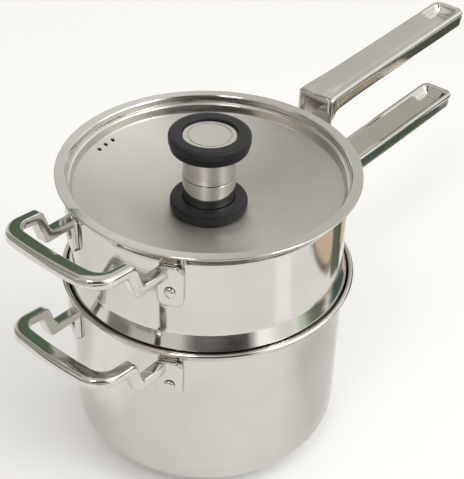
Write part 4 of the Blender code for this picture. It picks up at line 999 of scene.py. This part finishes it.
class Shading:
    """A node tree with short ways to add to it; a value is a number, a tuple or another node's output."""

    def __init__(self, owner):
        owner.use_nodes = True
        self.nodes = owner.node_tree.nodes
        self.links = owner.node_tree.links

    def feed(self, node, values):
        """Give a node's inputs, by name or number, their values."""
        for socket, value in values.items():
            if isinstance(value, bpy.types.NodeSocket):
                self.links.new(value, node.inputs[socket])
            else:
                node.inputs[socket].default_value = value

    def add(self, kind, values=(), **settings):
        """Add a node and return its outputs."""
        node = self.nodes.new("ShaderNode" + kind)
        for name, setting in settings.items():
            setattr(node, name, setting)
        self.feed(node, dict(values))
        return node.outputs

    def maths(self, operation, a, b):
        return self.add("Math", {0: a, 1: b}, operation=operation)[0]

    def vector(self, *values):
        return self.add("CombineXYZ", enumerate(values))[0]

    def noise(self, vector, scale, detail=4.0, roughness=0.6):
        return self.add("TexNoise", {"Vector": vector, "Scale": scale, "Detail": detail,
                                     "Roughness": roughness})["Fac"]

    def spread(self, value, low_in, high_in, low, high, blend="LINEAR"):
        """Map a value's range to another."""
        return self.add("MapRange", {"Value": value, "From Min": low_in, "From Max": high_in,
                                     "To Min": low, "To Max": high}, interpolation_type=blend)["Result"]

    def blended(self, share, under, colour):
        """A colour laid over another."""
        return self.add("Mix", {"Factor": share, "A": under, "B": (*colour, 1.0)},
                        data_type="RGBA")["Result"]

    def bumped(self, height, strength, distance):
        return self.add("Bump", {"Height": height, "Strength": strength, "Distance": distance})["Normal"]

    def polar(self):
        """Coordinates round the axis, away from it and up it, the last two scaled alike."""
        x, y, z = self.add("SeparateXYZ", {0: self.add("TexCoord")["Object"]})
        radius = self.add("VectorMath", {0: self.vector(x, y)}, operation="LENGTH")["Value"]
        return self.vector(self.maths("MULTIPLY", self.maths("ARCTAN2", y, x), GRAIN_TURNS),
                           self.maths("MULTIPLY", radius, GRAIN_SCALE),
                           self.maths("MULTIPLY", z, GRAIN_SCALE))


def steel(name, roughness, grain, colour=STEEL_COLOUR, turned_grain=True, satin=None):
    """Stainless steel: fine grain, faint smudges and stains; satin gives a dish inside a radius its finish."""
    material = bpy.data.materials.new(name)
    tree = Shading(material)
    plain = tree.add("TexCoord")["Object"]
    polar = tree.polar() if turned_grain else None
    fine = tree.noise(polar, 1.0, 3.0) if turned_grain else tree.noise(plain, GRAIN_SCALE, 3.0)
    cloud = tree.noise(plain, 22.0, 3.0, 0.55)
    smudge = tree.noise(plain, 70.0, 5.0, 0.65)
    dark = tuple(c * 0.95 for c in colour)
    light = tuple(min(1.0, c * 1.03) for c in colour)
    rough = tree.maths("ADD", tree.spread(fine, 0.3, 0.7, -grain, grain),
                       tree.spread(smudge, 0.35, 0.75, roughness - 0.02, roughness + 0.04))
    height = tree.maths("MULTIPLY", fine, 0.2 if turned_grain else 0.06)
    values = {
        "Metallic": 1.0,
        "Base Color": tree.blended(tree.spread(cloud, 0.3, 0.7, 0.0, 1.0), (*dark, 1.0), light),
        "Normal": tree.bumped(height, 0.25, 0.0004),
    }
    if satin is not None:
        edge, satin_roughness = satin
        radius = tree.add("SeparateXYZ", {0: polar})["Y"]
        inside = tree.spread(radius, GRAIN_SCALE * (edge - 0.6 * MM), GRAIN_SCALE * edge,
                             satin_roughness - roughness, 0.0)
        rough = tree.maths("ADD", rough, inside)
        values["Tangent"] = tree.add("Tangent", direction_type="RADIAL", axis="Z")[0]
        values["Anisotropic"] = 0.6
        values["Anisotropic Rotation"] = 0.25
    values["Roughness"] = rough
    tree.feed(tree.nodes["Principled BSDF"], values)
    return material


def black_resin(name):
    """Moulded matte black: fine texture, a little lighter where it is handled."""
    material = bpy.data.materials.new(name)
    tree = Shading(material)
    plain = tree.add("TexCoord")["Object"]
    cloud = tree.noise(plain, 60.0, 4.0)
    tree.feed(tree.nodes["Principled BSDF"], {
        "Base Color": tree.blended(tree.spread(cloud, 0.3, 0.7, 0.0, 1.0), (0.010, 0.010, 0.011, 1.0),
                                   (0.018, 0.018, 0.019)),
        "Roughness": tree.spread(cloud, 0.3, 0.7, 0.44, 0.54),
        "Specular IOR Level": 0.38,
        "Normal": tree.bumped(tree.noise(plain, 1800.0, 3.0), 0.3, 0.0001),
    })
    return material


WALL_STEEL = steel("wall_polished_steel", 0.09, 0.02)
LID_STEEL = steel("lid_satin_steel", 0.15, 0.03,
                  satin=(LID_RADIUS - LID_BRIM_WIDTH - LID_STEP_WIDTH - 1.0 * MM, 0.46))
CAST_STEEL = steel("cast_polished_steel", 0.09, 0.015, turned_grain=False)
RIVET_STEEL = steel("rivet_satin_steel", 0.11, 0.02, turned_grain=False)
BASE_STEEL = steel("base_brushed_steel", 0.30, 0.06, (0.60, 0.58, 0.56))
KNOB_STEEL = steel("knob_polished_steel", 0.08, 0.015)
CAP_STEEL = steel("cap_satin_steel", 0.22, 0.03)
FIXING_STEEL = steel("fixing_plain_steel", 0.26, 0.03, turned_grain=False)
CORE_METAL = steel("core_aluminium", 0.40, 0.05, (0.72, 0.72, 0.73))
BLACK_RESIN = black_resin("moulded_black")


def dress_nodes():
    """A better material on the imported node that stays."""
    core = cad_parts["base_core"]
    core.data.materials.clear()
    core.data.materials.append(CORE_METAL)


def steam_hole_tools():
    outline = [(0.0, -4 * MM), (STEAM_HOLE_RADIUS, -4 * MM), (STEAM_HOLE_RADIUS, 4 * MM), (0.0, 4 * MM)]
    places = [(0.0, 0.0)]
    for ring in range(1, STEAM_HOLE_RINGS + 1):
        for i in range(6 * ring):
            places.append((ring * STEAM_HOLE_PITCH, 2 * pi * i / (6 * ring)))
    tools = []
    for radius, azimuth in places:
        mesh = turned("steam_hole", outline, 24)
        mesh.transform(Matrix.Rotation(azimuth + 0.07, 4, "Z")
                       @ Matrix.Translation((radius, 0.0, STEAMER_FLOOR)))
        tools.append(mesh)
    return tools


def vent_tools():
    outline = [(0.0, -6 * MM), (VENT_RADIUS, -6 * MM), (VENT_RADIUS, 6 * MM), (0.0, 6 * MM)]
    tools = []
    for i in range(VENT_COUNT):
        azimuth = VENT_MIDDLE_AZIMUTH + (i - (VENT_COUNT - 1) / 2) * VENT_PITCH
        mesh = turned("vent", outline, 32)
        mesh.transform(Matrix.Translation((VENT_CIRCLE * cos(azimuth), VENT_CIRCLE * sin(azimuth),
                                           dish_height(VENT_CIRCLE))))
        tools.append(mesh)
    return tools


def build_pieces():
    add_piece("pot_shell", turned("pot_shell", pot_outline(), BODY_STEPS), WALL_STEEL,
              "pot", "pot_body")
    add_piece("base_plate", turned("base_plate", base_cap_outline(), BODY_STEPS), BASE_STEEL,
              "pot", "base_cap")
    steamer_mesh = drilled(turned("steamer_shell", steamer_outline(), BODY_STEPS), steam_hole_tools())
    add_piece("steamer_shell", steamer_mesh, WALL_STEEL, "steamer", "steamer_body")
    lid_mesh = drilled(turned("lid_pressing", lid_outline(), BODY_STEPS), vent_tools())
    add_piece("lid_pressing", lid_mesh, LID_STEEL, "lid", "lid_panel")
    finishes = {
        "knob_base_ring": (BLACK_RESIN, "knob_black"),
        "knob_lower_sleeve": (KNOB_STEEL, "knob_steel"),
        "knob_upper_sleeve": (KNOB_STEEL, "knob_steel"),
        "knob_top_ring": (BLACK_RESIN, "knob_black"),
        "knob_cap_disc": (CAP_STEEL, "knob_cap_steel"),
        "knob_washer": (FIXING_STEEL, "fastener_steel"),
        "knob_screw": (FIXING_STEEL, "fastener_steel"),
    }
    for node, corners in knob_outlines().items():
        material, slot = finishes[node]
        outline = [Vector((p.x, p.y + LID_SEAT)) for p in rounded(corners)]
        steps = KNOB_STEPS if "ring" in node or "sleeve" in node or "cap" in node else SMALL_STEPS
        add_piece(node + "_fine", turned(node + "_fine", outline, steps), material, "lid", node)
    for vessel, radius, wall, rim in (("pot", POT_RADIUS, POT_WALL, POT_RIM),
                                      ("steamer", STEAMER_RADIUS, STEAMER_WALL, STEAMER_RIM)):
        rivets(vessel, "long", radius, wall, long_handle(vessel, radius, rim))
        rivets(vessel, "helper", radius, wall, helper_handle(vessel, radius, rim))


# Stage

def set_floor():
    """Pale floor that glows a little in what shows the background: the camera, mirrors and glass."""
    bm = bmesh.new()
    bmesh.ops.create_circle(bm, cap_ends=True, segments=96, radius=5.0)
    mesh = finish_mesh("stage_floor", bm)
    floor = linked("stage_floor", mesh)
    material = bpy.data.materials.new("pale_floor")
    tree = Shading(material)
    path = tree.add("LightPath")
    mirrored = tree.maths("MAXIMUM", path["Is Glossy Ray"], path["Is Transmission Ray"])
    seen = tree.maths("MAXIMUM", path["Is Camera Ray"], mirrored)
    tree.feed(tree.nodes["Principled BSDF"], {
        "Base Color": (*FLOOR_COLOUR, 1.0),
        "Roughness": 0.9,
        "Specular IOR Level": 0.1,
        "Emission Color": (*WHITE, 1.0),
        "Emission Strength": tree.maths("MULTIPLY", seen, FLOOR_GLOW),
    })
    mesh.materials.append(material)


def card_material(name, least_run):
    """Light of the card's own colours; it lets through a ray that has run less than least_run."""
    material = bpy.data.materials.new(name)
    tree = Shading(material)
    tree.nodes.clear()
    own = tree.add("Attribute", attribute_name="card")
    far_enough = tree.maths("GREATER_THAN", tree.add("LightPath")["Ray Length"], least_run)
    blend = tree.add("MixShader", {0: tree.maths("MULTIPLY", far_enough, own["Alpha"]),
                                   1: tree.add("BsdfTransparent")[0],
                                   2: tree.add("Emission", {"Color": own["Color"]})[0]})
    tree.add("OutputMaterial", {"Surface": blend[0]})
    return material


def add_card(name, points, faces, colours, least_run=0.0):
    """Card that only reflections show, with a colour and an opacity at each point."""
    mesh = bpy.data.meshes.new(name)
    mesh.from_pydata([tuple(p) for p in points], [], faces)
    own = mesh.color_attributes.new("card", "FLOAT_COLOR", "POINT")
    for item, colour in zip(own.data, colours):
        item.color = colour
    mesh.materials.append(card_material(name, least_run))
    card = linked(name, mesh)
    for kind in ("camera", "diffuse", "transmission", "volume_scatter", "shadow"):
        setattr(card, "visible_" + kind, False)


def polygon_card(name, points, colour, soft=0.0, least_run=0.0):
    """Flat card of one colour whose edge fades over a share of its width."""
    points = [Vector(p) for p in points]
    count = len(points)
    solid = [(*colour, 1.0)] * count
    faces = [tuple(range(count))]
    if not soft:
        add_card(name, points, faces, solid, least_run)
        return
    middle = sum(points, Vector()) / count
    inner = [middle + (p - middle) * (1 - soft) for p in points]
    outer = [middle + (p - middle) * (1 + soft) for p in points]
    for i in range(count):
        j = (i + 1) % count
        faces.append((i, j, count + j, count + i))
    add_card(name, inner + outer, faces, solid + [(*colour, 0.0)] * count, least_run)


def facing_card(name, outline, colour, least_run):
    """Card across the view from the helper handles, with its outline in millimetres."""
    azimuth, elevation, distance = GREEN_PLACE
    ahead = Vector((cos(azimuth) * cos(elevation), sin(azimuth) * cos(elevation), sin(elevation)))
    right = Vector((-sin(azimuth), cos(azimuth), 0.0))
    up = ahead.cross(right)
    middle = Vector(CARD_ORIGIN) + ahead * distance
    polygon_card(name, [middle + right * (u * MM) + up * (v * MM) for u, v in outline], colour, 0.0, least_run)


def warm(level):
    """Grey of a level, browner where it is dark."""
    paleness = min(1.0, level)
    return level, level * mix(0.94, 1.0, paleness), level * mix(0.87, 0.98, paleness)


def ring_card(name, stops, tint):
    """Band round the pot's axis whose level follows the azimuth, faded at both ends."""
    columns = []
    for (start, level), (end, next_level) in zip(stops, stops[1:]):
        steps = max(1, round((end - start) / 3))
        columns += [(mix(start, end, i / steps), mix(level, next_level, i / steps)) for i in range(steps)]
    columns.append(stops[-1])
    last = len(columns) - 1
    points = []
    colours = []
    for i, (azimuth, level) in enumerate(columns):
        colour = [c * t for c, t in zip(warm(level), tint)]
        for height in SURROUND_HEIGHTS:
            points.append((SURROUND_RADIUS * cos(radians(azimuth)), SURROUND_RADIUS * sin(radians(azimuth)),
                           height))
            colours.append((*colour, 0.0 if i in (0, last) else 1.0))
    add_card(name, points, [(2 * i, 2 * i + 1, 2 * i + 3, 2 * i + 2) for i in range(last)], colours)


def sector_card(name, start, end, near, far, height, colour):
    """Part of a ring on the floor, between two azimuths and two radii."""
    steps = 18
    angles = [radians(mix(start, end, i / steps)) for i in range(steps + 1)]
    rows = [(near, angles), (far, angles[::-1])]
    polygon_card(name, [(radius * cos(angle), radius * sin(angle), height) for radius, row in rows
                        for angle in row], colour)


def set_cards():
    """What the polished steel mirrors in the photograph: greenery, a table and the dark side of the room."""
    facing_card("card_green_left", GREEN_LEFT, GREEN, 0.178)
    facing_card("card_green_right", GREEN_RIGHT, GREEN, 0.138)
    ring_card("card_pot_surround", POT_SURROUND, WHITE)
    ring_card("card_leaf_surround", LEAF_SURROUND, LEAF_TINT)
    sector_card("card_leaf_sector", *LEAF_SECTOR, 0.0008, LEAF)
    for name, (height, soft, colour, corners) in FLOOR_CARDS.items():
        polygon_card("card_" + name, [(x * MM, y * MM, height * MM) for x, y in corners], colour, soft)
    for name, (colour, corners) in SIDE_CARDS.items():
        polygon_card("card_" + name, [Vector(corner) * MM for corner in corners], colour)


def room_part(tree, flat, height, part):
    """Where a direction lies in one part of the room, with soft edges."""
    azimuth, half, soft, low, high, blur = part
    middle = (cos(radians(azimuth)), sin(radians(azimuth)), 0.0)
    towards = tree.add("VectorMath", {0: flat, 1: middle}, operation="DOT_PRODUCT")["Value"]

    def step(value, first, last, before, after):
        return tree.spread(value, first, last, before, after, "SMOOTHSTEP")

    around = step(towards, cos(radians(half + soft)), cos(radians(half - soft)), 0.0, 1.0)
    above = step(height, sin(radians(low - blur)), sin(radians(low + blur)), 0.0, 1.0)
    below = step(height, sin(radians(high - blur)), sin(radians(high + blur)), 1.0, 0.0)
    return tree.maths("MULTIPLY", around, tree.maths("MULTIPLY", above, below))


def set_world():
    """The room: levels by elevation, and parts of it that are lighter or darker."""
    world = bpy.data.worlds.new("studio")
    bpy.context.scene.world = world
    tree = Shading(world)
    x, y, z = tree.add("SeparateXYZ", {0: tree.add("TexCoord")["Generated"]})
    ramp = tree.nodes.new("ShaderNodeValToRGB")
    elements = ramp.color_ramp.elements
    while len(elements) < len(ROOM_LEVELS):
        elements.new(0.5)
    for element, (elevation, colour) in zip(elements, ROOM_LEVELS):
        element.position = max(0.0, sin(radians(elevation)))
        element.color = (*colour, 1.0)
    tree.feed(ramp, {"Fac": z})
    flat = tree.add("VectorMath", {0: tree.vector(x, y)}, operation="NORMALIZE")[0]
    shown = ramp.outputs["Color"]
    for *part, colour in ROOM_PARTS:
        shown = tree.blended(room_part(tree, flat, z, part), shown, colour)
    shown = tree.blended(tree.add("LightPath")["Is Camera Ray"], shown, WHITE)
    tree.feed(tree.nodes["Background"], {"Color": shown})


def softbox(name, place):
    light = bpy.data.lights.new(name, "AREA")
    light.shape = "RECTANGLE"
    light.size = light.size_y = SOFTBOX_SIZE
    light.energy = SOFTBOX_POWER
    obj = linked(name, light)
    obj.location = place
    obj.rotation_euler = (Vector(SOFTBOX_AIM) - Vector(place)).to_track_quat("-Z", "Y").to_euler()


def set_camera():
    """The photograph's camera, fitted to the rims and the base."""
    yaw, pitch, roll = 0.0272, 0.6395, 0.0342
    place = Vector((0.0, -0.56593, 0.43632))
    focal_pixels = 1097.62
    frame_height = 479
    sensor = 36.0
    turned_body = radians(-49.2)
    forward = Vector((sin(yaw) * cos(pitch), cos(yaw) * cos(pitch), -sin(pitch)))
    right = forward.cross(Vector((0.0, 0.0, 1.0))).normalized()
    up = right.cross(forward)
    rolled_right = cos(roll) * right + sin(roll) * up
    rolled_up = -sin(roll) * right + cos(roll) * up
    matrix = Matrix((rolled_right, rolled_up, -forward)).transposed().to_4x4()
    matrix.translation = place
    camera_data = bpy.data.cameras.new("photo_camera")
    camera_data.sensor_width = sensor
    camera_data.lens = focal_pixels / frame_height * sensor
    camera = linked("photo_camera", camera_data)
    camera.matrix_world = (Matrix.Translation((0.0, 0.0, POT_RIM))
                           @ Matrix.Rotation(turned_body, 4, "Z") @ matrix)
    bpy.context.scene.camera = camera


def set_stage():
    set_floor()
    set_world()
    set_cards()
    for name, place in SOFTBOXES.items():
        softbox(name, place)
    set_camera()
    bpy.context.scene.view_settings.view_transform = "Standard"


build_pieces()
dress_nodes()
set_stage()
